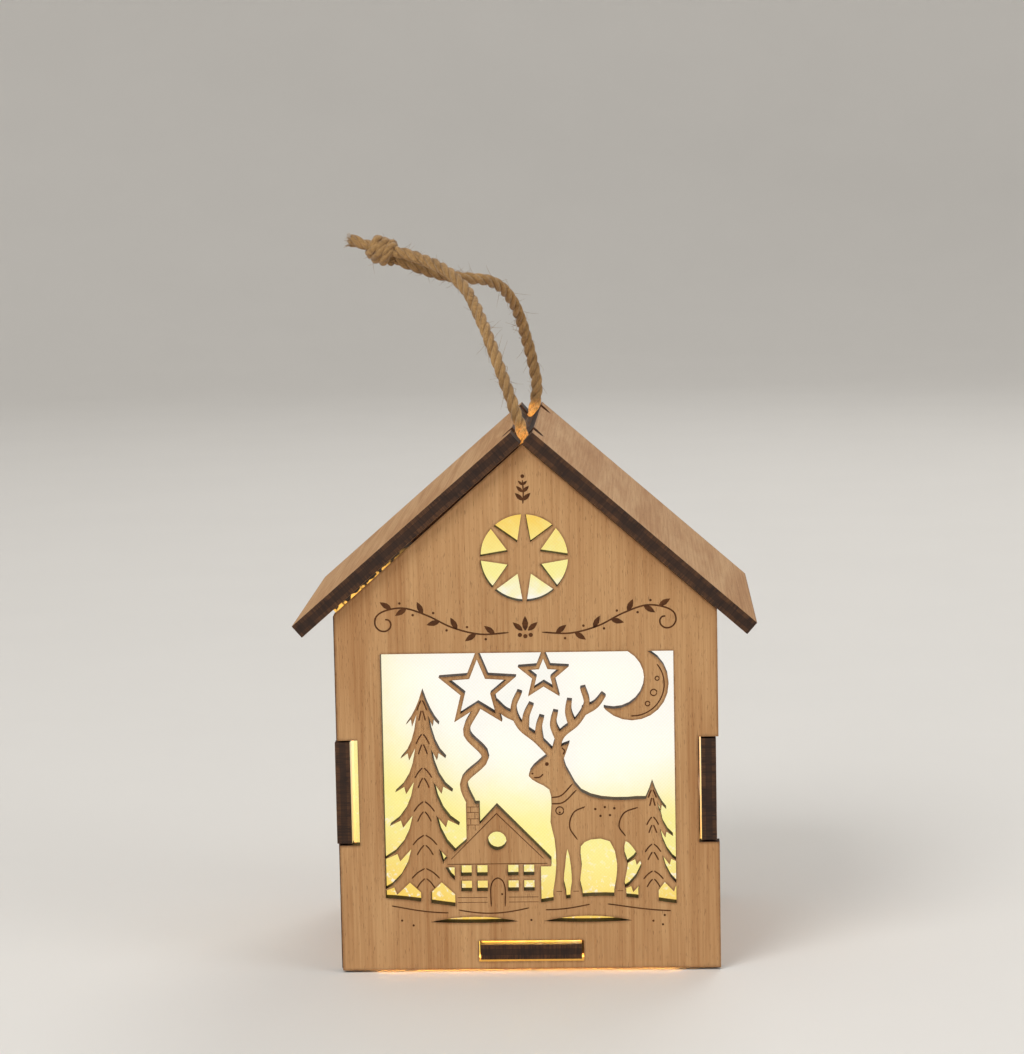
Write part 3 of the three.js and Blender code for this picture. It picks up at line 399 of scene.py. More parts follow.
def shine(shader, sketch, mask, tone, strength, faint_glow=BLACK):
    """Paints light: lets a surface glow where the mask is one, and with the faint glow colour elsewhere."""
    dress(shader, sketch, Emission_Color=sketch.mix(mask, faint_glow, tone), Emission_Strength=strength)


def bump(sketch, height, distance):
    node = sketch.add("ShaderNodeBump", {"Height": height, "Distance": distance, "Strength": 1.0})
    return node.outputs["Normal"]


def position_mm(sketch):
    """Object position in millimetres."""
    position = sketch.add("ShaderNodeTexCoord").outputs["Object"]
    return sketch.vector("MULTIPLY", position, (1 / MM, 1 / MM, 1 / MM))


def build_round_shading():
    """Geometry nodes that shade the rounds of a solid smoothly and keep its corners crisp."""
    tree = bpy.data.node_groups.new(ROUND_SHADING, "GeometryNodeTree")
    for direction in ("INPUT", "OUTPUT"):
        tree.interface.new_socket("Geometry", in_out=direction, socket_type="NodeSocketGeometry")
    sketch = NodeSketch(tree)
    source = sketch.add("NodeGroupInput").outputs[0]
    bend = sketch.add("GeometryNodeInputMeshEdgeAngle").outputs["Unsigned Angle"]
    corner = sketch.add("FunctionNodeCompare", {0: bend, 1: CORNER_ANGLE}, operation="GREATER_THAN")
    shading = {"Mesh": source, "Remove Custom": True, "Edge Sharpness": corner.outputs[0]}
    shaded = sketch.add("GeometryNodeSetMeshNormal", shading, mode="SHARPNESS").outputs[0]
    sketch.add("NodeGroupOutput", {0: shaded})
    return tree


def soften(node, width=0.0):
    """Joins a solid's faces, rounds its hard edges and smooths its rounds, without touching its own mesh."""
    modifiers = NODES[node].modifiers
    modifiers.new("joined_faces", "WELD").merge_threshold = JOIN_REACH
    if width:
        whole = modifiers.new("whole_faces", "DECIMATE")
        whole.decimate_type = "DISSOLVE"
        whole.angle_limit = FLAT_ANGLE
        edges = modifiers.new("soft_edges", "BEVEL")
        edges.width = width
        edges.segments = EDGE_SEGMENTS
        edges.limit_method = "ANGLE"
        edges.angle_limit = CORNER_ANGLE
        edges.use_clamp_overlap = True
    shading = bpy.data.node_groups.get(ROUND_SHADING) or build_round_shading()
    modifiers.new("round_shading", "NODES").node_group = shading
    modifiers.new("even_faces", "WEIGHTED_NORMAL").keep_sharp = True


def cover(node, material):
    """Gives a solid its finish."""
    mesh = NODES[node].data
    mesh.materials.clear()
    mesh.materials.append(material)


def loft(mesh, rings):
    """Joins rings of vertices into one closed skin."""
    sides = len(rings[0])
    for near, far in zip(rings, rings[1:]):
        for k in range(sides):
            n = (k + 1) % sides
            mesh.faces.new((near[k], near[n], far[n], far[k]))
    mesh.faces.new(rings[0][::-1])
    mesh.faces.new(rings[-1])


def mesh_data(mesh, name, smooth=False):
    """Mesh data from a bmesh, which is freed."""
    for face in mesh.faces:
        face.smooth = smooth
    data = bpy.data.meshes.new(name)
    mesh.to_mesh(data)
    mesh.free()
    return data


def new_piece(name, data, material):
    """A piece of the house that isn't one of its solids."""
    piece = bpy.data.objects.new(name, data)
    bpy.context.scene.collection.objects.link(piece)
    data.materials.append(material)
    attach(piece, HOUSE)
    return piece


def new_closed_piece(name, mesh, material):
    bmesh.ops.recalc_face_normals(mesh, faces=mesh.faces)
    return new_piece(name, mesh_data(mesh, name), material)


def polar(centre, radius, angle):
    """The point at a distance and in a direction from a centre."""
    return centre[0] + radius * math.cos(angle), centre[1] + radius * math.sin(angle)


# Shared effects


def build_wood_grain():
    """Face veneer: broad bands, fine streaks and short pores along the grain."""

    def build(sketch, source):
        board = source["Place"]
        wide = sketch.remap(sketch.streaks(board, (0.012, 0.16, 0.05), 3.0, 0.55, 1.2), 0.3, 0.7)
        narrow = sketch.remap(sketch.streaks(board, (0.05, 2.4, 0.4), 4.0, 0.6, 0.3), 0.3, 0.72)
        fine = sketch.streaks(board, (0.22, 9.0, 1.0), 2.0)
        pores = sketch.remap(sketch.streaks(board, (0.7, 8.5, 1.0), 1.0, 0.5), 0.66, 0.74)
        tone = sketch.blend(wide, 0.5, narrow, 0.4)
        tone = sketch.math("ADD", tone, sketch.product(fine, 0.2), clamp=True)
        wood = sketch.mix(tone, source["Light"], source["Dark"])
        wood = sketch.mix(sketch.product(pores, 0.55), wood, source["Pore"])
        height = sketch.math("SUBTRACT", sketch.product(narrow, 0.5), pores)
        height = sketch.math("ADD", height, sketch.product(fine, 0.4))
        return {"Color": wood, "Height": height, "Blend": tone}

    inputs = {"Place": VECTOR, "Light": COLOUR, "Dark": COLOUR, "Pore": COLOUR}
    return new_group("Wood grain", inputs, {"Color": COLOUR, "Height": VALUE, "Blend": VALUE}, build)


def build_laser_cut():
    """Burnt cut edges with their plies, and the smoke stain that the cut leaves on the face."""

    def build(sketch, source):
        board = source["Place"]
        depth = sketch.math("DIVIDE", source["Depth"], source["Sheet"])
        from_middle = sketch.math("ABSOLUTE", sketch.math("SUBTRACT", depth, 0.5))
        core = sketch.remap(from_middle, 0.17, 0.2, 1.0, 0.0)
        from_glue = sketch.math("ABSOLUTE", sketch.math("SUBTRACT", from_middle, 0.19))
        glue = sketch.remap(from_glue, 0.0, 0.025, 1.0, 0.0)
        burn = sketch.streaks(board, (0.5, 0.5, 0.5), 3.0)
        streak = sketch.streaks(board, (4.0, 4.0, 0.35), 2.0)
        plies = sketch.mix(sketch.product(core, 0.65), source["Ply"], source["Char"])
        plies = sketch.mix(glue, plies, source["Char"])
        burnt = sketch.remap(sketch.blend(burn, 0.6, streak, 0.6), 0.3, 0.8)
        edge = sketch.mix(burnt, plies, source["Char"])
        smoke = sketch.remap(sketch.streaks(board, (0.7, 0.7, 0.7), 3.0), 0.2, 0.75, 0.35, 1.0)
        face = sketch.mix(sketch.product(source["Halo"], smoke), source["Face"], source["Scorch"])
        return {"Color": sketch.mix(source["Cut"], face, edge), "Height": streak}

    inputs = {"Place": VECTOR, "Depth": VALUE, "Sheet": VALUE}
    inputs.update({"Face": COLOUR, "Ply": COLOUR, "Char": COLOUR, "Scorch": COLOUR})
    inputs.update({"Cut": VALUE, "Halo": VALUE})
    return new_group("Laser cut", inputs, {"Color": COLOUR, "Height": VALUE}, build)


def build_mould_skin():
    """Moulded plastic: fine satin texture and slight cloudiness."""

    def build(sketch, source):
        cloud = sketch.noise(source["Place"], 0.22, 3.0, 0.5)
        grain = sketch.noise(source["Place"], 5.0, 2.0, 0.6)
        tint = sketch.mix(sketch.remap(cloud, 0.3, 0.7, 0.0, 0.22), source["Color"], source["Shade"])
        roughness = sketch.remap(grain, 0.25, 0.75, 0.36, 0.5)
        return {"Color": tint, "Roughness": roughness, "Height": grain}

    return new_group("Mould skin", SURFACE_INPUTS, SURFACE_OUTPUTS, build)


def build_brushed_metal():
    """Fine brushing across metal, with faint smudges."""

    def build(sketch, source):
        brush = sketch.streaks(source["Place"], (0.6, 12.0, 12.0), 2.0)
        smudge = sketch.noise(source["Place"], 0.16, 2.0, 0.45)
        tone = sketch.mix(sketch.remap(smudge, 0.35, 0.7, 0.0, 0.16), source["Color"], source["Shade"])
        tone = sketch.mix(sketch.remap(brush, 0.35, 0.75, 0.0, 0.12), tone, source["Shade"])
        worn = sketch.remap(smudge, 0.4, 0.7, 0.0, 0.05)
        roughness = sketch.math("ADD", sketch.remap(brush, 0.2, 0.8, 0.24, 0.34), worn)
        return {"Color": tone, "Roughness": roughness, "Height": brush}

    return new_group("Brushed metal", SURFACE_INPUTS, SURFACE_OUTPUTS, build)


# Stage


class ORNAMENT_OT_set_stage(bpy.types.Operator):
    """Camera at the photograph's angle, soft studio lamps, and a pale floor that sweeps up into a backdrop"""

    bl_idname = "ornament.set_stage"
    bl_label = "Set stage"

    def execute(self, context):
        settings = context.scene.ornament.stage
        context.scene.view_settings.view_transform = "Standard"
        self.add_camera(context, settings)
        self.add_sweep(context, settings)
        self.add_lamps(context, settings)
        self.set_sky(context, settings)
        return {"FINISHED"}

    def add_camera(self, context, settings):
        yaw, pitch, roll = settings.camera_yaw, settings.camera_pitch, settings.camera_roll
        ahead = math.cos(pitch)
        forward = Vector((-math.sin(yaw) * ahead, math.cos(yaw) * ahead, -math.sin(pitch)))
        level = Vector((math.cos(yaw), math.sin(yaw), 0))
        upright = level.cross(forward)
        right = math.cos(roll) * level + math.sin(roll) * upright
        up = math.cos(roll) * upright - math.sin(roll) * level
        camera = bpy.data.objects.new("camera", bpy.data.cameras.new("camera"))
        camera.data.lens = settings.camera_lens
        turn = Matrix((right, up, -forward)).transposed().to_4x4()
        camera.matrix_world = Matrix.Translation(settings.camera_place) @ turn
        context.scene.collection.objects.link(camera)
        context.scene.camera = camera

    def add_sweep(self, context, settings):
        flat, bend, wall = 1.1, 0.5, 1.2
        turns, bend_steps = 64, 8
        profile = [(0.0, 0.0), (flat, 0.0)]
        for step in range(1, bend_steps + 1):
            angle = step / bend_steps * math.pi / 2
            profile.append((flat + bend * math.sin(angle), bend * (1 - math.cos(angle))))
        profile.append((flat + bend, bend + wall))
        mesh = bmesh.new()
        rings = []
        for radius, height in profile:
            angles = [2 * math.pi * k / turns for k in range(turns if radius else 1)]
            rings.append([mesh.verts.new((*polar((0, 0), radius, angle), height)) for angle in angles])
        for k in range(turns):
            n = (k + 1) % turns
            mesh.faces.new((rings[0][0], rings[1][k], rings[1][n]))
            for inner, outer in zip(rings[1:], rings[2:]):
                mesh.faces.new((inner[k], outer[k], outer[n], inner[n]))
        sweep = bpy.data.objects.new("studio_sweep", mesh_data(mesh, "studio_sweep", smooth=True))
        context.scene.collection.objects.link(sweep)
        sweep.data.materials.append(self.sweep_material(settings))

    def sweep_material(self, settings):
        """Pale and matt from the object's side, see-through from below and outside, and for lamp light."""
        material, sketch, shader = new_material("studio_floor")
        mottle = sketch.noise(position_mm(sketch), 0.02, 3.0, 0.5)
        pale = settings.floor_colour
        tone = sketch.mix(sketch.remap(mottle, 0.3, 0.7, 0.0, 0.4), pale, tuple(0.97 * c for c in pale))
        dress(shader, sketch, Base_Color=tone, Roughness=0.6, Specular_IOR_Level=0.25)
        clear = sketch.add("ShaderNodeBsdfTransparent")
        behind = sketch.add("ShaderNodeNewGeometry").outputs["Backfacing"]
        lamp_ray = sketch.add("ShaderNodeLightPath").outputs["Is Shadow Ray"]
        open_way = sketch.math("MAXIMUM", behind, lamp_ray)
        shaders = {0: open_way, 1: shader.outputs[0], 2: clear.outputs[0]}
        choice = sketch.add("ShaderNodeMixShader", shaders)
        output = next(node for node in material.node_tree.nodes if node.type == "OUTPUT_MATERIAL")
        sketch.feed(output.inputs["Surface"], choice.outputs[0])
        return material

    def add_lamps(self, context, settings):
        aim = Vector((0, 0, 0.05))
        lamps = (
            ("key_lamp", (-0.42, -0.62, 0.72), 0.55, settings.key_power),
            ("fill_lamp", (0.78, -0.42, 0.42), 0.6, settings.fill_power),
            ("rim_lamp", (0.25, 0.72, 0.75), 0.5, settings.rim_power),
            ("under_lamp", (-0.2, -0.3, -0.8), 0.6, settings.under_power),
        )
        for name, spot, size, power in lamps:
            lamp = bpy.data.lights.new(name, "AREA")
            lamp.shape = "DISK"
            lamp.size = size
            lamp.energy = power
            holder = bpy.data.objects.new(name, lamp)
            holder.location = spot
            holder.rotation_euler = (aim - Vector(spot)).to_track_quat("-Z", "Y").to_euler()
            context.scene.collection.objects.link(holder)

    def set_sky(self, context, settings):
        world = bpy.data.worlds.new("studio_sky")
        world.use_nodes = True
        background = world.node_tree.nodes["Background"]
        background.inputs["Color"].default_value = (1, 1, 1, 1)
        background.inputs["Strength"].default_value = settings.sky_strength
        context.scene.world = world


# Twine


def smooth_route(points, steps):
    """Points of a centripetal Catmull-Rom curve through the route, steps to each stretch."""
    ends = [points[0] * 2 - points[1], *points, points[-1] * 2 - points[-2]]
    smallest_gap = 1e-7
    result = []
    for first, start, end, last in zip(ends, ends[1:], ends[2:], ends[3:]):
        pairs = ((first, start), (start, end), (end, last))
        gaps = [max((b - a).length, smallest_gap) ** 0.5 for a, b in pairs]
        t1, t2, t3 = itertools.accumulate(gaps)
        for k in range(steps):
            t = t1 + (t2 - t1) * k / steps
            a1 = first * ((t1 - t) / t1) + start * (t / t1)
            a2 = start * ((t2 - t) / (t2 - t1)) + end * ((t - t1) / (t2 - t1))
            a3 = end * ((t3 - t) / (t3 - t2)) + last * ((t - t2) / (t3 - t2))
            b1 = a1 * ((t2 - t) / t2) + a2 * (t / t2)
            b2 = a2 * ((t3 - t) / (t3 - t1)) + a3 * ((t - t1) / (t3 - t1))
            result.append(b1 * ((t2 - t) / (t2 - t1)) + b2 * ((t - t1) / (t2 - t1)))
    result.append(points[-1].copy())
    return result


def even_route(points, step):
    """The same line with points an even step apart."""
    line = [points[0].copy()]
    left = step
    for start, end in zip(points, points[1:]):
        gap = (end - start).length
        while gap >= left and gap > 0:
            start = start.lerp(end, left / gap)
            line.append(start.copy())
            gap = (end - start).length
            left = step
        left -= gap
    if (line[-1] - points[-1]).length > step / 4:
        line.append(points[-1].copy())
    return line


def route_frames(points):
    """Tangent, normal and binormal at each point, carried along without twisting."""
    frames = []
    normal = None
    for k in range(len(points)):
        tangent = (points[min(k + 1, len(points) - 1)] - points[max(k - 1, 0)]).normalized()
        if normal is None:
            normal = tangent.orthogonal().normalized()
        normal = (normal - tangent * normal.dot(tangent)).normalized()
        frames.append((tangent, normal, tangent.cross(normal)))
    return frames


def distances(points):
    """How far along the line each of its points lies."""
    gaps = ((b - a).length for a, b in zip(points, points[1:]))
    return list(itertools.accumulate(gaps, initial=0.0))


def spoke(first, second, angle):
    """The direction at an angle between two directions at right angles."""
    return first * math.cos(angle) + second * math.sin(angle)


class TubeMesh:
    """Collects closed tubes and keeps, for each vertex, how far along and round its tube it lies."""

    def __init__(self):
        self.mesh = bmesh.new()
        self.along = self.mesh.verts.layers.float.new("along")
        self.around = self.mesh.verts.layers.float.new("around")

    def tube(self, points, radii, sides):
        rings = []
        for point, radius, travelled, axes in zip(points, radii, distances(points), route_frames(points)):
            ring = []
            for s in range(sides):
                angle = 2 * math.pi * s / sides
                vert = self.mesh.verts.new(point + spoke(axes[1], axes[2], angle) * radius)
                vert[self.along] = travelled / MM
                vert[self.around] = math.sin(angle)
                ring.append(vert)
            rings.append(ring)
        loft(self.mesh, rings)

    def piece(self, name, material):
        return new_piece(name, mesh_data(self.mesh, name, smooth=True), material)


def lay_strands(tubes, line, settings, chance, phase=0.0, spread=1.0):
    """Strands of twine twisted round a line; their thickness wavers as spun fibre does."""
    count = settings.strands
    strand = settings.diameter / 2 / (1 + 1 / math.sin(math.pi / count)) * STRAND_PRESS
    offset = (settings.diameter / 2 - strand) * spread
    frames = route_frames(line)
    travels = distances(line)
    for k in range(count):
        waver = [chance.uniform(*WAVER_RANGE) for _ in range(len(line) // WAVER_SPACING + 2)]
        points, radii = [], []
        for j, (point, travelled, axes) in enumerate(zip(line, travels, frames)):
            angle = 2 * math.pi * (k / count + travelled / settings.pitch) + phase
            points.append(point + spoke(axes[1], axes[2], angle) * offset)
            knob = j // WAVER_SPACING
            share = j / WAVER_SPACING - knob
            radii.append(strand * (waver[knob] * (1 - share) + waver[knob + 1] * share))
        tubes.tube(points, radii, STRAND_SIDES)


def add_fuzz(tubes, line, settings, chance, count, reach):
    """Loose fibres that stand off the twine."""
    frames = route_frames(line)
    steps, sides = 5, 3
    root_share, out_share, lean_share = 0.42, 0.55, 0.7
    root_width, thinning = 1.15, 0.8
    for _ in range(count):
        k = chance.randrange(2, len(line) - 2)
        tangent, normal, binormal = frames[k]
        out = spoke(normal, binormal, chance.uniform(0, 2 * math.pi))
        side = tangent.cross(out)
        size = chance.uniform(0.3, 1.0) ** 2 * reach
        lean = tangent * chance.choice((-1, 1)) * chance.uniform(0.5, 1.3) + side * chance.uniform(-0.8, 0.8)
        curl = out * chance.uniform(-0.5, 0.4) + side * chance.uniform(-0.6, 0.6)
        root = line[k] + out * settings.diameter * root_share
        away = out * out_share + lean * lean_share
        points, radii = [], []
        for j in range(steps + 1):
            share = j / steps
            points.append(root + away * size * share + curl * size * share * share)
            radii.append(FIBRE_RADIUS * (root_width - thinning * share))
        tubes.tube(points, radii, sides)


class ORNAMENT_OT_lay_twine(bpy.types.Operator):
    """Jute twine: two legs, the run under the ridge, the knot with its tails, and loose fibres"""

    bl_idname = "ornament.lay_twine"
    bl_label = "Lay twine"

    def execute(self, context):
        settings = context.scene.ornament.twine
        self.jute = self.jute_material(settings)
        self.step = settings.pitch / STEPS_PER_TURN
        chance = random.Random(TWINE_SEED)
        knot = self.knot(settings, chance)
        self.leg("twine_front", (*FRONT_LEG, self.knot_entry(-1)), settings, chance, [knot])
        self.leg("twine_rear", (*REAR_LEG, self.knot_entry(1)), settings, chance, [])
        tubes = TubeMesh()
        line = self.line(INNER_RUN)
        lay_strands(tubes, line, settings, chance)
        add_fuzz(tubes, line, settings, chance, settings.fuzz // 3, RUN_FUZZ_REACH)
        run = tubes.piece("twine_under_ridge", self.jute)
        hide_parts("twine_inner_run")
        return {"FINISHED"}

    def knot_entry(self, side):
        """Where a leg ends inside the knot, beside the other leg."""
        return tuple(Vector(KNOT_CENTRE) + Vector((0, side * KNOT_CORE_OFFSET, 0)))

    def line(self, route):
        points = [Vector((x, y, RIDGE_UNDER + z)) for x, y, z in route]
        return even_route(smooth_route(points, CURVE_STEPS), self.step)

    def leg(self, name, route, settings, chance, extras):
        line = self.line(route)
        tubes = TubeMesh()
        lay_strands(tubes, line, settings, chance)
        piece = tubes.piece(name, self.jute)
        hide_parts(name + "_leg")
        hairs = TubeMesh()
        add_fuzz(hairs, line, settings, chance, settings.fuzz, LEG_FUZZ_REACH)
        fuzz = hairs.piece(name + "_fuzz", self.jute)
        distances(line)[-1]

    def knot(self, settings, chance):
        """Both legs run through three tight turns and end in two short frayed tails."""
        centre = Vector(KNOT_CENTRE) + Vector((0, 0, RIDGE_UNDER))
        across = KNOT_LEAN.cross(Vector((0, 1, 0))).normalized()
        level = across.cross(KNOT_LEAN)
        half, tail = 0.0026, 0.0029
        exit_apart, tail_apart, tail_lift = 0.0008, 0.0012, 0.0003
        core_spread, wrap_spread = 0.85, 0.8
        tubes = TubeMesh()
        for side in (-1, 1):
            start = centre - KNOT_LEAN * half / 4 + level * side * KNOT_CORE_OFFSET
            middle = centre + KNOT_LEAN * half / 3 + level * side * KNOT_CORE_OFFSET
            exit_point = centre + KNOT_LEAN * half + level * side * exit_apart
            end = centre + KNOT_LEAN * (half + tail) + level * side * tail_apart + across * side * tail_lift
            core = even_route(smooth_route([start, middle, exit_point, end], CURVE_STEPS), self.step)
            lay_strands(tubes, core, settings, chance, side, core_spread)
            self.fray(tubes, core, settings, chance)
        wrap_radius, wrap_inset, turns, count = 0.00152, 0.0008, 3.0, 90
        wrap = []
        for k in range(count + 1):
            share = k / count
            ease = min(1.0, 6 * share, 6 * (1 - share))
            radius = wrap_radius * (0.7 + 0.3 * ease)
            along = (share - 0.5) * 2 * (half - wrap_inset)
            out = spoke(across, level, 2 * math.pi * turns * share)
            wrap.append(centre + KNOT_LEAN * along + out * radius)
        line = even_route(wrap, self.step)
        lay_strands(tubes, line, settings, chance, 0.0, wrap_spread)
        add_fuzz(tubes, line, settings, chance, settings.fuzz // 3, KNOT_FUZZ_REACH)
        knot = tubes.piece("twine_end_knot", self.jute)
        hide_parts("twine_knot")
        return knot

    def fray(self, tubes, core, settings, chance):
        """Loose ends of the fibres at a cut tail."""
        fibres, sides, sunk = 26, 4, 0.0003
        radii = (0.00006, 0.00005, 0.00002)
        out = (core[-1] - core[-4]).normalized()
        side = out.orthogonal().normalized()
        other = out.cross(side)
        for _ in range(fibres):
            away = spoke(side, other, chance.uniform(0, 2 * math.pi))
            root = core[-1] - out * sunk + away * chance.uniform(0.1, 0.8) * settings.diameter / 2
            size = chance.uniform(0.0004, 0.0012)
            bend = root + out * size * 0.5 + away * size * 0.1
            tubes.tube([root, bend, root + out * size + away * size * 0.5], radii, sides)

    def jute_material(self, settings):
        """Spun fibre, darker between the strands, that soaks up lamp light at the ridge."""
        material, sketch, shader = new_material("jute")
        along = sketch.attribute("along")
        around = sketch.attribute("around")
        position = position_mm(sketch)
        skew = sketch.blend(along, 1.5, around, 5.0)
        line = sketch.add("ShaderNodeCombineXYZ", {"X": skew, "Y": sketch.product(around, 3.0)}).outputs[0]
        fibres = sketch.noise(line, 3.2, 3.0, 0.6)
        blotch = sketch.noise(position, 0.55, 3.0, 0.6)
        spun = sketch.remap(sketch.blend(fibres, 0.75, blotch, 0.35), 0.32, 0.76)
        dress(shader, sketch, Base_Color=sketch.mix(spun, settings.dark, settings.pale))
        height = sketch.axis(position, "Z")
        foot = RIDGE_UNDER / MM
        glow_end, glow_full, hidden, shown = 3.4, 0.3, -1.2, -0.4
        soaked = sketch.product(
            sketch.remap(height, foot + glow_end, foot + glow_full),
            sketch.remap(fibres, 0.3, 0.66),
            sketch.remap(height, foot + hidden, foot + shown),
        )
        shine(shader, sketch, soaked, settings.foot_glow, 1.0)
        dress(shader, sketch, Roughness=0.92, Normal=bump(sketch, fibres, 0.00006))
        dress(shader, sketch, Specular_IOR_Level=0.2, Sheen_Weight=0.25, Sheen_Roughness=0.5)
        return material


# Boards


def board_axes(node):
    """The direction through a board, where the board starts along it, and its thickness."""
    areas = {}
    for face in NODES[node].data.polygons:
        normal = face.normal
        # Opposite faces count together, so every normal is turned to the same side.
        sign = 1 if normal.dot(SAME_SIDE) > 0 else -1
        key = tuple(round(sign * c, 2) for c in normal)
        found = areas.setdefault(key, [0.0, Vector((0, 0, 0))])
        found[0] += face.area
        found[1] += normal * sign * face.area
    through = max(areas.values(), key=lambda found: found[0])[1].normalized()
    reach = [through.dot(vert.co) for vert in NODES[node].data.vertices]
    return through, min(reach), max(reach) - min(reach)


class ORNAMENT_OT_finish_boards(bpy.types.Operator):
    """Plywood finish of the seven boards: veneer grain, burnt cut edges and smoke stains"""

    bl_idname = "ornament.finish_boards"
    bl_label = "Finish boards"

    def execute(self, context):
        settings = context.scene.ornament.plywood
        grain = build_wood_grain()
        laser = build_laser_cut()
        for number, (node, along) in enumerate(BOARD_GRAIN.items()):
            cover(node, self.plywood(node, Vector(along), number, settings, grain, laser))
            # The small steps of the fretwork leave no room for rounded edges.
            soften(node, 0.0 if node == "front_panel" else settings.edge_round)
        return {"FINISHED"}

    def plywood(self, node, along, number, settings, grain, laser):
        through, start, sheet = board_axes(node)
        across = through.cross(along).normalized()
        material, sketch, shader = new_material("plywood_" + node)
        position = position_mm(sketch)
        # Each board shows another stretch of the grain.
        board_shift = GRAIN_SHIFT * number
        depth = sketch.math("SUBTRACT", sketch.dot(position, tuple(through)), start / MM)
        lengthwise = sketch.math("ADD", sketch.dot(position, tuple(along)), board_shift)
        sideways = sketch.math("ADD", sketch.dot(position, tuple(across)), board_shift)
        axes = {"X": lengthwise, "Y": sideways, "Z": depth}
        board = sketch.add("ShaderNodeCombineXYZ", axes).outputs[0]
        tones = {"Light": settings.face_light, "Dark": settings.face_dark, "Pore": settings.pore}
        veneer = place_group(sketch, grain, {"Place": board, **tones})
        normal = sketch.add("ShaderNodeNewGeometry").outputs["True Normal"]
        flat = sketch.math("ABSOLUTE", sketch.dot(normal, tuple(through)))
        cut = sketch.remap(flat, 0.35, 0.9, 1.0, 0.0)
        rounded = sketch.add("ShaderNodeBevel", {"Radius": settings.scorch_width}, samples=6)
        turned = sketch.dot(rounded.outputs["Normal"], normal)
        cutting = {
            "Place": board,
            "Depth": depth,
            "Sheet": sheet / MM,
            "Face": veneer["Color"],
            "Ply": settings.ply,
            "Char": settings.char,
            "Scorch": settings.scorch,
            "Cut": cut,
            "Halo": sketch.remap(turned, 0.8, 0.9995, 0.9, 0.0),
        }
        edge = place_group(sketch, laser, cutting)
        relief = bump(sketch, sketch.mix(cut, veneer["Height"], edge["Height"]), 0.00004)
        roughness = sketch.remap(veneer["Blend"], 0.2, 0.9, 0.58, 0.7)
        dress(shader, sketch, Base_Color=edge["Color"], Roughness=roughness, Normal=relief)
        dress(shader, sketch, Specular_IOR_Level=0.3)
        if node in SIDE_PANELS:
            self.light_wall(sketch, shader, node, position, normal)
        if node in GABLES:
            self.light_slot(sketch, shader, position, normal)
        return material

    def light_wall(self, sketch, shader, node, position, normal):
        """Inner face of a side panel near a gable: lit so brightly that it shows pale through the notch."""
        glow = bpy.context.scene.ornament.glow
        low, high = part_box(node)
        inward = (-1, 0, 0) if low.x > 0 else (1, 0, 0)
        film_inside = -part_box("front_diffuser")[1].y / MM
        lit_depth, fade = 7.0, 1.0
        low_share, high_share = 0.3, 0.7
        top = high.z / MM
        away = sketch.math("ABSOLUTE", sketch.axis(position, "Y"))
        beside = sketch.remap(away, film_inside - lit_depth, film_inside - lit_depth + fade)
        rise = sketch.remap(sketch.axis(position, "Z"), low_share * top, high_share * top)
        tone = sketch.mix(rise, glow.wall_low, glow.wall_high)
        lit = sketch.product(sketch.facing(normal, inward), beside)
        shine(shader, sketch, lit, tone, glow.wall_strength)

    def light_slot(self, sketch, shader, position, normal):
        """Foot of the floor slot in a gable, lit from under the floor board."""
        glow = bpy.context.scene.ornament.glow
        floor_under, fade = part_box("floor_panel")[0].z / MM, 0.1
        foot = sketch.remap(sketch.axis(position, "Z"), floor_under, floor_under - fade)
        lit = sketch.product(sketch.facing(normal, (0, 0, 1)), foot)
        shine(shader, sketch, lit, glow.leak, glow.wall_strength)


# Glue lines


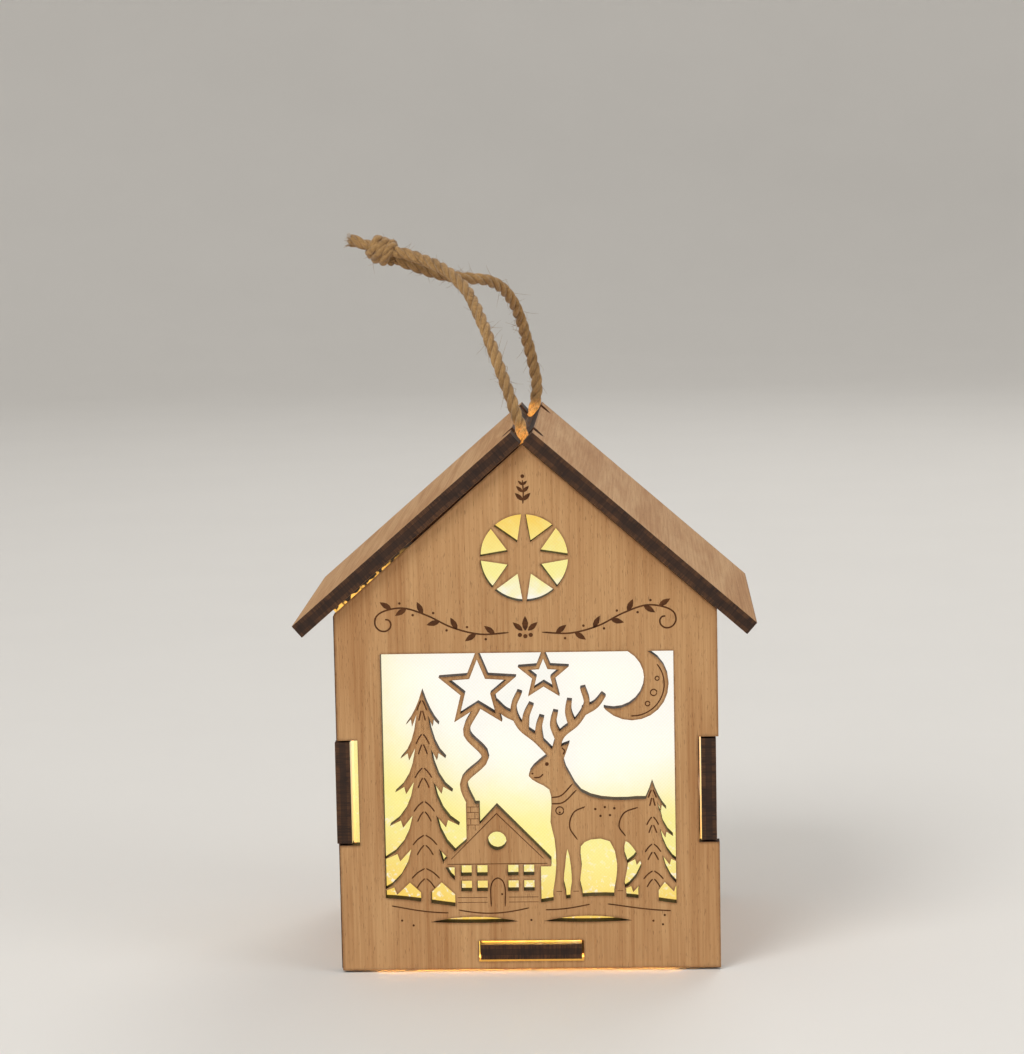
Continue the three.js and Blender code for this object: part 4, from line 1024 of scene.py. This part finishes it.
class ORNAMENT_OT_run_glue(bpy.types.Operator):
    """Glue between gables and roof boards; near the front left eave it is thin and lets light through"""

    bl_idname = "ornament.run_glue"
    bl_label = "Run glue"

    def execute(self, context):
        plywood = context.scene.ornament.plywood
        glow = context.scene.ornament.glow
        ridge_end, thin_start, eave_end = 0.02, 0.58, 0.99
        glue, thin_glue = bmesh.new(), bmesh.new()
        for gable in GABLES:
            for roof, side in (("roof_panel_left", -1), ("roof_panel_right", 1)):
                if gable == "front_panel" and side < 0:
                    self.bead(glue, gable, roof, side, ridge_end, thin_start)
                    self.bead(thin_glue, gable, roof, side, thin_start, eave_end)
                else:
                    self.bead(glue, gable, roof, side, ridge_end, eave_end)
        for start, end in RIDGE_GLUE:
            self.ridge_bead(glue, start, end)
        new_closed_piece("roof_glue_lines", glue, self.glue(plywood))
        new_closed_piece("eave_thin_glue", thin_glue, self.thin_glue(plywood, glow))
        return {"FINISHED"}

    def ridge_bead(self, mesh, start, end):
        """A stretch of glue in the valley between the roof boards, with a sunk top and rounded ends."""
        left = max(v.co.x for v in NODES["roof_panel_left"].data.vertices)
        right_corners = [v.co for v in NODES["roof_panel_right"].data.vertices]
        right = min(corner.x for corner in right_corners)
        foot = min(corner.z for corner in right_corners if corner.x - right < TOUCH)
        over = board_axes("roof_panel_right")[0]
        flare = abs(over.x / over.z)
        fill, sunk, lap = 0.0005, 0.00018, 0.00003
        smallest, roundness, steps = 0.25, 6, 9
        middle = (left + right) / 2
        half = (right - left) / 2 + lap
        rings = []
        for k in range(steps + 1):
            share = k / steps
            size = max(smallest, 1 - abs(2 * share - 1) ** roundness)
            deep = fill * size
            wide = half + flare * deep
            section = ((-half, 0), (half, 0), (wide, deep), (0, deep - sunk * size), (-wide, deep))
            y = start + (end - start) * share
            rings.append([mesh.verts.new((middle + x, y, foot + z)) for x, z in section])
        loft(mesh, rings)

    def seam(self, gable, roof, side):
        """Peak and eave of a gable's edge, the upward normal of the roof board, and its underside."""
        low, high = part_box(gable)
        corner_x = high.x if side > 0 else low.x
        corner_z = max(v.co.z for v in NODES[gable].data.vertices if abs(v.co.x - corner_x) < TOUCH)
        through = board_axes(roof)[0]
        over = through if through.z > 0 else -through
        underside = min(over.dot(v.co) for v in NODES[roof].data.vertices)
        return Vector((0, 0, high.z)), Vector((corner_x, 0, corner_z)), over, underside

    def bead(self, mesh, gable, roof, side, start, end):
        """One closed strip that fills the seam between a gable's edge and the roof board over it."""
        low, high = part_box(gable)
        peak, eave, over, underside = self.seam(gable, roof, side)
        recess, lap = 0.0005, 0.00002
        front, back = low.y + recess, high.y - recess
        rings = []
        for share in (start, end):
            edge = peak.lerp(eave, share)
            top = underside - over.dot(edge) + lap
            section = ((-lap, front), (-lap, back), (top, back), (top, front))
            rings.append([mesh.verts.new(edge + over * lift + Vector((0, y, 0))) for lift, y in section])
        loft(mesh, rings)

    def glue(self, settings):
        material, sketch, shader = new_material("wood_glue")
        blotch = sketch.noise(position_mm(sketch), 1.4, 3.0, 0.6)
        tone = sketch.mix(sketch.remap(blotch, 0.3, 0.7), settings.char, settings.ply)
        roughness = sketch.remap(blotch, 0.3, 0.7, 0.55, 0.8)
        dress(shader, sketch, Base_Color=tone, Roughness=roughness, Specular_IOR_Level=0.25)
        dress(shader, sketch, Normal=bump(sketch, blotch, 0.00004))
        return material

    def thin_glue(self, plywood, glow):
        """Glue so thin that the light inside shows through it in short dashes, fading towards the ridge."""
        material, sketch, shader = new_material("thin_glue")
        position = position_mm(sketch)
        _, eave, over, underside = self.seam("front_panel", "roof_panel_left", -1)
        gap = (underside - over.dot(eave)) / MM
        below_roof = sketch.math("SUBTRACT", underside / MM, sketch.dot(position, tuple(over)))
        pinch = sketch.remap(below_roof, 0.0, gap, 0.17, 0.0)
        spots = sketch.math("SUBTRACT", sketch.noise(position, 0.85, 1.5, 0.5), pinch)
        dashes = sketch.remap(spots, 0.43, 0.55)
        lit_from, lit_fully = -17.5, -24.0
        lit = sketch.product(dashes, sketch.remap(sketch.axis(position, "X"), lit_from, lit_fully))
        # Painted light: where the light shows through, the glue is paler as well as glowing, and between the
        # dashes it still glows faintly.
        dress(shader, sketch, Base_Color=sketch.mix(lit, plywood.char, plywood.ply), Roughness=0.4)
        shine(shader, sketch, lit, glow.leak, glow.leak_strength, faint_glow=(0.012, 0.006, 0.002))
        return material


# Engraving


def ground_level(x):
    """Height of the snow line in the fretwork."""
    angle = 2 * math.pi * (x - WINDOW_LEFT) / GROUND_WAVE + GROUND_PHASE
    return WINDOW_SILL + GROUND_HEIGHT + GROUND_SWELL * math.sin(angle)


class EngravedFace:
    """Shallow burnt marks on one flat face: strokes, dots, rings and leaves, drawn in millimetres."""

    proud = 0.000012
    proud_step = 0.000003
    levels = 5
    sunk = 0.00003
    curve_steps = 6
    end_taper = 0.45

    def __init__(self, mesh, face, right, out):
        self.marks = 0
        self.mesh = mesh
        self.face = Vector(face)
        self.right = Vector(right)
        self.out = Vector(out)

    def vert(self, point, lift):
        spot = self.face + self.right * point[0] * MM + Vector((0, 0, point[1] * MM))
        return self.mesh.verts.new(spot + self.out * lift)

    def next_height(self):
        """Height of the next mark over the board: marks that cross lie at slightly different heights."""
        self.marks += 1
        return self.proud + self.proud_step * (self.marks % self.levels)

    def prism(self, outline):
        height = self.next_height()
        loft(self.mesh, [[self.vert(point, lift) for point in outline] for lift in (-self.sunk, height)])

    def stroke(self, points, width=PLAIN_LINE, curved=True):
        """A line of even width with tapered ends; gives back the points that it follows."""
        line = [Vector((x, z, 0)) for x, z in points]
        if curved and len(line) > 2:
            line = smooth_route(line, self.curve_steps)
        height = self.next_height()
        last = len(line) - 1
        rings = []
        for k, point in enumerate(line):
            ahead = (line[min(k + 1, last)] - line[max(k - 1, 0)]).normalized()
            taper = self.end_taper if k in (0, last) else 1.0
            side = Vector((-ahead.y, ahead.x, 0)) * width * taper / 2
            low, high = (point - side, point + side), (point + side, point - side)
            ring = [self.vert(spot, -self.sunk) for spot in low] + [self.vert(spot, height) for spot in high]
            rings.append(ring)
        loft(self.mesh, rings)
        return line

    def dot(self, centre, radius):
        sides = 14
        self.prism([polar(centre, radius, 2 * math.pi * k / sides) for k in range(sides)])

    def ring(self, centre, radius):
        sides = 18
        turn = [polar(centre, radius, 2 * math.pi * k / sides) for k in range(sides + 1)]
        self.stroke(turn, FINE_LINE, curved=False)

    def leaf(self, root, angle, size):
        """A pointed leaf that grows from its root in the direction of the angle."""
        outline = [*LEAF_HALF, *((along, -across) for along, across in LEAF_HALF[-2::-1])]
        cosine, sine = math.cos(angle), math.sin(angle)
        points = []
        for along, across in outline[::-1]:
            x = root[0] + size * (along * cosine - across * sine)
            z = root[1] + size * (along * sine + across * cosine)
            points.append((x, z))
        self.prism(points)


class ORNAMENT_OT_engrave_boards(bpy.types.Operator):
    """Laser engraving: leaf garland in the gable, lines on the fretwork, frames round the plain windows"""

    bl_idname = "ornament.engrave_boards"
    bl_label = "Engrave boards"

    def execute(self, context):
        settings = context.scene.ornament.plywood
        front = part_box("front_panel")[0]
        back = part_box("back_panel")[1]
        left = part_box("side_panel_left")[0]
        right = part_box("side_panel_right")[1]
        mesh = bmesh.new()
        gable = EngravedFace(mesh, (0, front.y, 0), (1, 0, 0), (0, -1, 0))
        for side in (-1, 1):
            self.garland(gable, side)
        gable.dot((0, 53.8), 0.34)
        gable.leaf((0, 54.7), math.pi / 2, 2.3)
        self.peak_sprig(gable)
        self.stag(gable)
        self.cottage(gable)
        for fir in FIRS:
            self.fir(gable, fir)
        self.moon(gable)
        self.snow(gable)
        self.window_frame(EngravedFace(mesh, (0, back.y, 0), (-1, 0, 0), (0, 1, 0)), BACK_WINDOW)
        self.window_frame(EngravedFace(mesh, (left.x, 0, 0), (0, -1, 0), (-1, 0, 0)), SIDE_WINDOW)
        self.window_frame(EngravedFace(mesh, (right.x, 0, 0), (0, 1, 0), (1, 0, 0)), SIDE_WINDOW)
        new_closed_piece("board_engraving", mesh, self.burn(settings))
        return {"FINISHED"}

    def garland(self, face, side):
        """A leafy branch that curls in at its outer end, with berries, mirrored on the other side."""
        stem = list(GARLAND_STEM)
        for k in range(CURL_STEPS + 1):
            share = k / CURL_STEPS
            radius = CURL_RADII[0] + (CURL_RADII[1] - CURL_RADII[0]) * share
            direction = CURL_DIRECTIONS[0] + (CURL_DIRECTIONS[1] - CURL_DIRECTIONS[0]) * share
            stem.append(polar(CURL_CENTRE, radius, direction))
        line = face.stroke([(side * x, z) for x, z in stem], BOLD_LINE)
        leaf_end = face.curve_steps * len(GARLAND_STEM) - 2
        leafy = range(GARLAND_FIRST_LEAF, leaf_end, GARLAND_LEAF_SPACING)
        for number, k in enumerate(leafy):
            ahead = line[k + 1] - line[k - 1]
            turn = side * (-0.75 if number % 2 else 0.75)
            face.leaf(line[k].xy, math.atan2(ahead.y, ahead.x) + turn, 2.1)
            if k < leafy[-1]:
                berry = line[k + 2] - Vector((-ahead.y, ahead.x, 0)).normalized() * turn
                face.dot(berry.xy, 0.2)
        face.dot((side * 0.85, 54.0), 0.34)
        face.leaf((side * 0.45, 54.7), math.pi / 2 - side * 0.85, 2.0)

    def peak_sprig(self, face):
        face.stroke([(0, 74.7), (0.1, 76.4), (0, 78.4)])
        for z, size in ((75.2, 1.7), (76.5, 1.4), (77.6, 1.0)):
            for side in (-1, 1):
                face.leaf((0, z), math.pi / 2 - side * 0.8, size)
        face.dot((0, 79.0), 0.3)

    def stag(self, face):
        """Eye, muzzle, ear, collar with a bell, shoulder, haunch and hooves."""
        ground = ground_level(STAG_X) - STAG_HOOF_DEPTH

        def at(x, z):
            return STAG_X + x, ground + z

        strokes = (
            ((-9.6, 19.95), (-8.7, 20.0), (-8.1, 20.5)),
            ((-5.1, 24.7), (-4.7, 24.2), (-4.9, 23.6)),
            ((-6.9, 16.7), (-5.4, 17.0), (-3.5, 18.9)),
            ((-6.9, 15.7), (-5.1, 15.9), (-2.9, 17.9)),
            ((-2.9, 9.9), (-4.1, 12.0), (-3.4, 14.3), (-1.6, 15.2)),
            ((4.7, 10.4), (3.7, 12.0), (4.5, 14.1), (6.7, 15.0)),
        )
        for stroke in strokes:
            face.stroke([at(x, z) for x, z in stroke])
        for x in (-5.9, -3.25, 3.75):
            face.stroke([at(x - 0.45, 1.6), at(x + 0.45, 1.6)], LIGHT_LINE)
        face.dot(at(-7.5, 22.1), 0.3)
        face.dot(at(-9.8, 20.6), 0.16)
        face.ring(at(-5.6, 14.6), 0.62)
        face.dot(at(-5.6, 14.3), 0.16)
        for x, z in ((0.0, 14.8), (1.5, 15.1), (3.0, 14.9), (0.8, 13.7), (2.3, 13.8)):
            face.dot(at(x, z), 0.2)

    def cottage(self, face):
        """Door, eaves, roof edge, boards of the wall and bricks of the chimney."""
        base = ground_level(COTTAGE_X)

        def at(x, z):
            return COTTAGE_X + x, base + z

        door = ((-1.1, 0.2), (-1.1, 3.4), (-0.7, 4.4), (0, 4.8), (0.7, 4.4), (1.1, 3.4), (1.1, 0.2))
        face.stroke([at(x, z) for x, z in door])
        face.dot(at(0.65, 2.2), 0.17)
        face.stroke([at(-7.3, 7.9), at(0, 15.2), at(7.3, 7.9)], curved=False)
        face.stroke([at(-7.9, 7.1), at(7.9, 7.1)])
        for z in (0.9, 1.7):
            for side in (-1, 1):
                face.stroke([at(side * 1.7, z), at(side * 6.4, z)], FINE_LINE)
        for row, z in enumerate((13.4, 14.4, 15.4, 16.3)):
            face.stroke([at(-4.7, z), at(-2.8, z)], HAIR_LINE)
            middle = -4.1 if row % 2 else -3.4
            face.stroke([at(middle, z - 0.9), at(middle, z)], HAIR_LINE)

    def fir(self, face, fir):
        """Drooping lines on each tier of branches."""
        base = ground_level(fir["x"]) - FIR_ROOT_DEPTH
        foot = base + FIR_TRUNK
        tiers = fir["tiers"]
        tier_height = (fir["height"] + FIR_ROOT_DEPTH - FIR_TRUNK) / tiers
        droop = 0.3 * tier_height
        for tier in range(1, tiers + 1):
            tip = foot + tier_height * (tiers - tier)
            reach = fir["spread"] * (FIR_TOP_SHARE + (1 - FIR_TOP_SHARE) * tier / tiers)
            for rise, share in ((0.72, 0.3), (0.42, 0.2)):
                crown = tip + rise * tier_height
                for side in (-1, 1):
                    start = (fir["x"] + side * 0.12, crown)
                    middle = (fir["x"] + side * share * reach * 0.55, crown - 0.4 * droop)
                    face.stroke([start, middle, (fir["x"] + side * share * reach, crown - droop)])

    def moon(self, face):
        """A line along the moon's outer edge, and three craters."""
        arc = [math.radians(-92 + 13 * k) for k in range(11)]
        face.stroke([polar(MOON, 5.1, angle) for angle in arc], LIGHT_LINE)
        for radius, angle, size in ((3.7, -22, 0.5), (4.0, -52, 0.36), (4.1, 12, 0.32)):
            face.ring(polar(MOON, radius, math.radians(angle)), size)

    def snow(self, face):
        """Lines along the drifts, and a few flakes."""
        steps, sag = 6, 0.3
        drifts = ((-22.0, -13.0, 1.2), (-11.4, -0.2, 0.55), (2.4, 9.4, 1.3), (12.2, 22.2, 1.3))
        for start, end, drop in drifts:
            line = []
            for k in range(steps + 1):
                x = start + (end - start) * k / steps
                line.append((x, ground_level(x) - drop - sag * math.sin(math.pi * k / steps)))
            face.stroke(line, LIGHT_LINE)
        for flake in ((-20.4, 8.4), (-18.6, 7.6), (0.1, 8.3), (19.4, 8.0), (21.2, 8.9), (20.9, 7.4)):
            face.dot(flake, 0.18)

    def window_frame(self, face, window):
        """A double line round a plain lattice window, with a dot at each corner."""
        for gap, width in ((1.1, PLAIN_LINE), (1.8, HAIR_LINE)):
            left, low = window[0] - gap, window[1] - gap
            right, high = window[2] + gap, window[3] + gap
            corners = ((left, low), (right, low), (right, high), (left, high))
            for start, end in zip(corners, (*corners[1:], corners[0])):
                face.stroke([start, end], width)
        dot_gap = 2.6
        for x in (window[0] - dot_gap, window[2] + dot_gap):
            for z in (window[1] - dot_gap, window[3] + dot_gap):
                face.dot((x, z), 0.3)

    def burn(self, settings):
        material, sketch, shader = new_material("engraved_burn")
        position = position_mm(sketch)
        uneven = sketch.noise(position, 1.1, 3.0, 0.6)
        pixel = sketch.noise(position, 9.0, 1.0, 0.5)
        tone = sketch.mix(sketch.remap(uneven, 0.3, 0.72), settings.engraved, settings.scorch)
        dress(shader, sketch, Base_Color=tone, Roughness=0.85, Normal=bump(sketch, pixel, 0.00003))
        dress(shader, sketch, Specular_IOR_Level=0.2)
        return material


# Glow


class ORNAMENT_OT_light_sheets(bpy.types.Operator):
    """Translucent sheets that glow from the lamp behind them, and the lamp's own light inside the house"""

    bl_idname = "ornament.light_sheets"
    bl_label = "Light sheets"

    def execute(self, context):
        settings = context.scene.ornament.glow
        film = self.film(settings)
        for node in DIFFUSERS:
            cover(node, film)
        lamp_radius, over_flame = 0.007, 0.016
        lamp = bpy.data.lights.new("led_light", "POINT")
        lamp.energy = settings.lamp_power
        lamp.color = settings.lamp
        lamp.shadow_soft_size = lamp_radius
        self.hang(context, lamp, (0, 0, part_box("flame_lens")[1].z + over_flame))
        for gable, outward in (("front", -1), ("back", 1)):
            self.light_base(context, settings, gable, outward)
        return {"FINISHED"}

    def light_base(self, context, settings, gable, outward):
        """Light under the floor board, which leaks out below a gable and below the floor's tab."""
        low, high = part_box("floor_panel")
        film_inside = -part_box("front_diffuser")[1].y
        margin, film_gap, height_share = 0.003, 0.0004, 0.9
        lamp = bpy.data.lights.new(gable + "_base_light", "AREA")
        lamp.shape = "RECTANGLE"
        lamp.size = high.x - low.x - 2 * margin
        lamp.size_y = height_share * low.z
        lamp.energy = settings.base_power
        lamp.color = settings.base
        spot = ((low.x + high.x) / 2, outward * (film_inside - film_gap), low.z / 2)
        self.hang(context, lamp, spot, (outward * math.pi / 2, 0, 0))

    def hang(self, context, lamp, spot, turn=(0, 0, 0)):
        """Puts a lamp into the house, unseen itself."""
        holder = bpy.data.objects.new(lamp.name, lamp)
        holder.location = spot
        holder.rotation_euler = turn
        holder.visible_camera = False
        context.scene.collection.objects.link(holder)
        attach(holder, HOUSE)

    def film(self, settings):
        """Frosted sheet with a painted glow, white near the lamp and amber far from it, with creases and
        specks painted into the glow as uneven shade and glints, and a fine weave.
        """
        material, sketch, shader = new_material("diffuser_film")
        position = position_mm(sketch)
        offset = sketch.vector("SUBTRACT", position, tuple(Vector(settings.centre) / MM))
        offset = sketch.vector("MULTIPLY", offset, (settings.spread, 1.0, 1.0))
        away = sketch.add("ShaderNodeVectorMath", {0: offset}, operation="LENGTH").outputs["Value"]
        height = sketch.axis(position, "Z")
        # Painted shade: the glow dims towards the top of the gable.
        away = sketch.math("ADD", away, sketch.remap(height, *GABLE_FADE, 0.0, 11.0))
        # Creases as painted light: blotches that lengthen or shorten the glow's reach, deeper towards the
        # top.
        glow_crease = sketch.math("SUBTRACT", sketch.noise(position, 0.2, 2.0, 0.5, 1.0), 0.5)
        glow_crease_depth = sketch.remap(height, *GLOW_CREASE_RISE, 2.0, 11.0)
        away = sketch.math("ADD", away, sketch.product(glow_crease, glow_crease_depth))
        tone = sketch.mix(sketch.remap(away, *MIDDLE_REACH), settings.core, settings.middle)
        tone = sketch.mix(sketch.remap(away, *RIM_REACH), tone, settings.rim)
        # Painted glints: bright specks in the glow, strongest far from the lamp and faint near the top.
        speck_glints = sketch.product(
            sketch.remap(sketch.noise(position, 1.5, 3.0, 0.55, 0.4), 0.54, 0.68),
            sketch.remap(sketch.noise(position, 0.16, 2.0, 0.5), 0.32, 0.6, 0.25, 1.0),
            sketch.remap(away, *SPECK_REACH, 0.0, 0.9),
            sketch.remap(height, *SPECK_FADE, 1.0, 0.12),
        )
        tone = sketch.mix(speck_glints, tone, settings.speck_glint)
        weave = self.weave(sketch, position)
        threads = sketch.mix(weave, (0.9, 0.87, 0.8), (1, 1, 1))
        shade = sketch.mix(1.0, tone, threads, "MULTIPLY")
        below_sill = sketch.remap(height, *SILL_GLOW, 1.0, settings.low_gain)
        over_tab = sketch.remap(height, *TAB_SHADE, 0.12, 1.0)
        shade = sketch.mix(1.0, shade, sketch.product(below_sill, over_tab), "MULTIPLY")
        dress(shader, sketch, Base_Color=settings.film, Roughness=0.5, Specular_IOR_Level=0.3)
        dress(shader, sketch, Emission_Color=shade, Emission_Strength=settings.strength)
        dress(shader, sketch, Normal=bump(sketch, weave, 0.00002))
        return material

    def weave(self, sketch, position):
        """Fine square texture pressed into the sheet."""
        pitch = 0.55
        level = sketch.math("ADD", sketch.axis(position, "X"), sketch.axis(position, "Y"))
        waves = []
        for value in (level, sketch.axis(position, "Z")):
            waves.append(sketch.math("SINE", sketch.product(value, 2 * math.pi / pitch)))
        grid = sketch.remap(sketch.product(*waves), -1.0, 1.0, 0.1, 0.6)
        rough = sketch.noise(position, 2.2, 2.0, 0.6)
        return sketch.math("ADD", grid, sketch.product(rough, 0.5), clamp=True)


# Light module


class ORNAMENT_OT_finish_light_module(bpy.types.Operator):
    """Finishes of the light module: moulded plastic, lit flame and LED, steel cell, brass and tin"""

    bl_idname = "ornament.finish_light_module"
    bl_label = "Finish light module"

    def execute(self, context):
        settings = context.scene.ornament.module
        self.skin = build_mould_skin()
        self.brushed = build_brushed_metal()
        ivory = self.plastic("ivory_plastic", settings.plastic)
        brass = self.metal("contact_brass", settings.brass)
        tin = self.metal("tinned_wire", settings.tin)
        moulded, strip = settings.edge_round, settings.strip_round
        finishes = {
            "module_cup": (ivory, moulded),
            "module_base": (ivory, moulded),
            "battery_door": (ivory, moulded),
            "switch_slider": (self.plastic("slider_plastic", settings.slider), moulded),
            "switch_body": (self.plastic("switch_plastic", settings.switch), moulded),
            "coin_cell": (self.metal("cell_steel", settings.steel), moulded),
            "contact_negative": (brass, strip),
            "contact_positive": (brass, strip),
            "led_lead_cathode": (tin, 0.0),
            "led_lead_anode": (tin, 0.0),
            "flame_lens": (self.flame(settings), 0.0),
            "led_bulb": (self.led(settings), 0.0),
        }
        for node, (material, edge) in finishes.items():
            cover(node, material)
            soften(node, edge)
        return {"FINISHED"}

    def plastic(self, name, tint):
        return self.surface(name, self.skin, tint, shading=(0.86, 0.82, 0.74), relief=0.00001)

    def metal(self, name, tint):
        shading = (0.78, 0.78, 0.78)
        return self.surface(name, self.brushed, tint, shading, relief=0.000006, metallic=1.0)

    def surface(self, name, group, tint, shading, relief, metallic=0.0):
        """A material from a shared group, which mixes the tint with a darker shade of it."""
        material, sketch, shader = new_material(name)
        shade = tuple(c * share for c, share in zip(tint, shading))
        look = place_group(sketch, group, {"Place": position_mm(sketch), "Color": tint, "Shade": shade})
        dress(shader, sketch, Base_Color=look["Color"], Roughness=look["Roughness"], Metallic=metallic)
        dress(shader, sketch, Normal=bump(sketch, look["Height"], relief))
        return material

    def flame(self, settings):
        """Frosted lens that glows pale at its foot and amber at its tip."""
        low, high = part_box("flame_lens")
        material, sketch, shader = new_material("flame_glow")
        position = position_mm(sketch)
        pale_height = 4.0
        frost = sketch.noise(position, 1.6, 3.0, 0.6)
        rise = sketch.remap(sketch.axis(position, "Z"), low.z / MM + pale_height, high.z / MM)
        tone = sketch.mix(rise, settings.flame_base, settings.flame_tip)
        tone = sketch.mix(sketch.remap(frost, 0.3, 0.7, 0.0, 0.16), tone, settings.flame_tip)
        dress(shader, sketch, Base_Color=settings.flame, Roughness=0.38)
        dress(shader, sketch, Emission_Color=tone, Emission_Strength=settings.flame_strength)
        dress(shader, sketch, Normal=bump(sketch, frost, 0.00003))
        return material

    def led(self, settings):
        material, sketch, shader = new_material("led_glow")
        cloud = sketch.noise(position_mm(sketch), 0.9, 2.0, 0.5)
        tone = sketch.mix(sketch.remap(cloud, 0.3, 0.7, 0.0, 0.35), settings.led, settings.flame_tip)
        dress(shader, sketch, Base_Color=settings.epoxy, Roughness=0.1)
        dress(shader, sketch, Emission_Color=tone, Emission_Strength=settings.led_strength)
        return material


class ORNAMENT_PT_panel(bpy.types.Panel):
    """Lists the steps that finish the ornament"""

    bl_idname = "ORNAMENT_PT_panel"
    bl_label = "House ornament"
    bl_space_type = "VIEW_3D"
    bl_region_type = "UI"
    bl_category = "Ornament"

    def draw(self, context):
        for step in STEPS:
            self.layout.operator(step.bl_idname)


STEPS = (
    ORNAMENT_OT_set_stage,
    ORNAMENT_OT_lay_twine,
    ORNAMENT_OT_finish_boards,
    ORNAMENT_OT_run_glue,
    ORNAMENT_OT_engrave_boards,
    ORNAMENT_OT_light_sheets,
    ORNAMENT_OT_finish_light_module,
)
CLASSES = (
    StageSettings,
    PlywoodSettings,
    GlowSettings,
    TwineSettings,
    ModuleSettings,
    OrnamentSettings,
    *STEPS,
    ORNAMENT_PT_panel,
)


def register():
    for item in CLASSES:
        bpy.utils.register_class(item)
    bpy.types.Scene.ornament = PointerProperty(type=OrnamentSettings)


def unregister():
    del bpy.types.Scene.ornament
    for item in reversed(CLASSES):
        bpy.utils.unregister_class(item)


def main():
    register()
    bpy.ops.ornament.set_stage()
    bpy.ops.ornament.lay_twine()
    bpy.ops.ornament.finish_boards()
    bpy.ops.ornament.run_glue()
    bpy.ops.ornament.engrave_boards()
    bpy.ops.ornament.light_sheets()
    bpy.ops.ornament.finish_light_module()


if __name__ == "__main__":
    main()
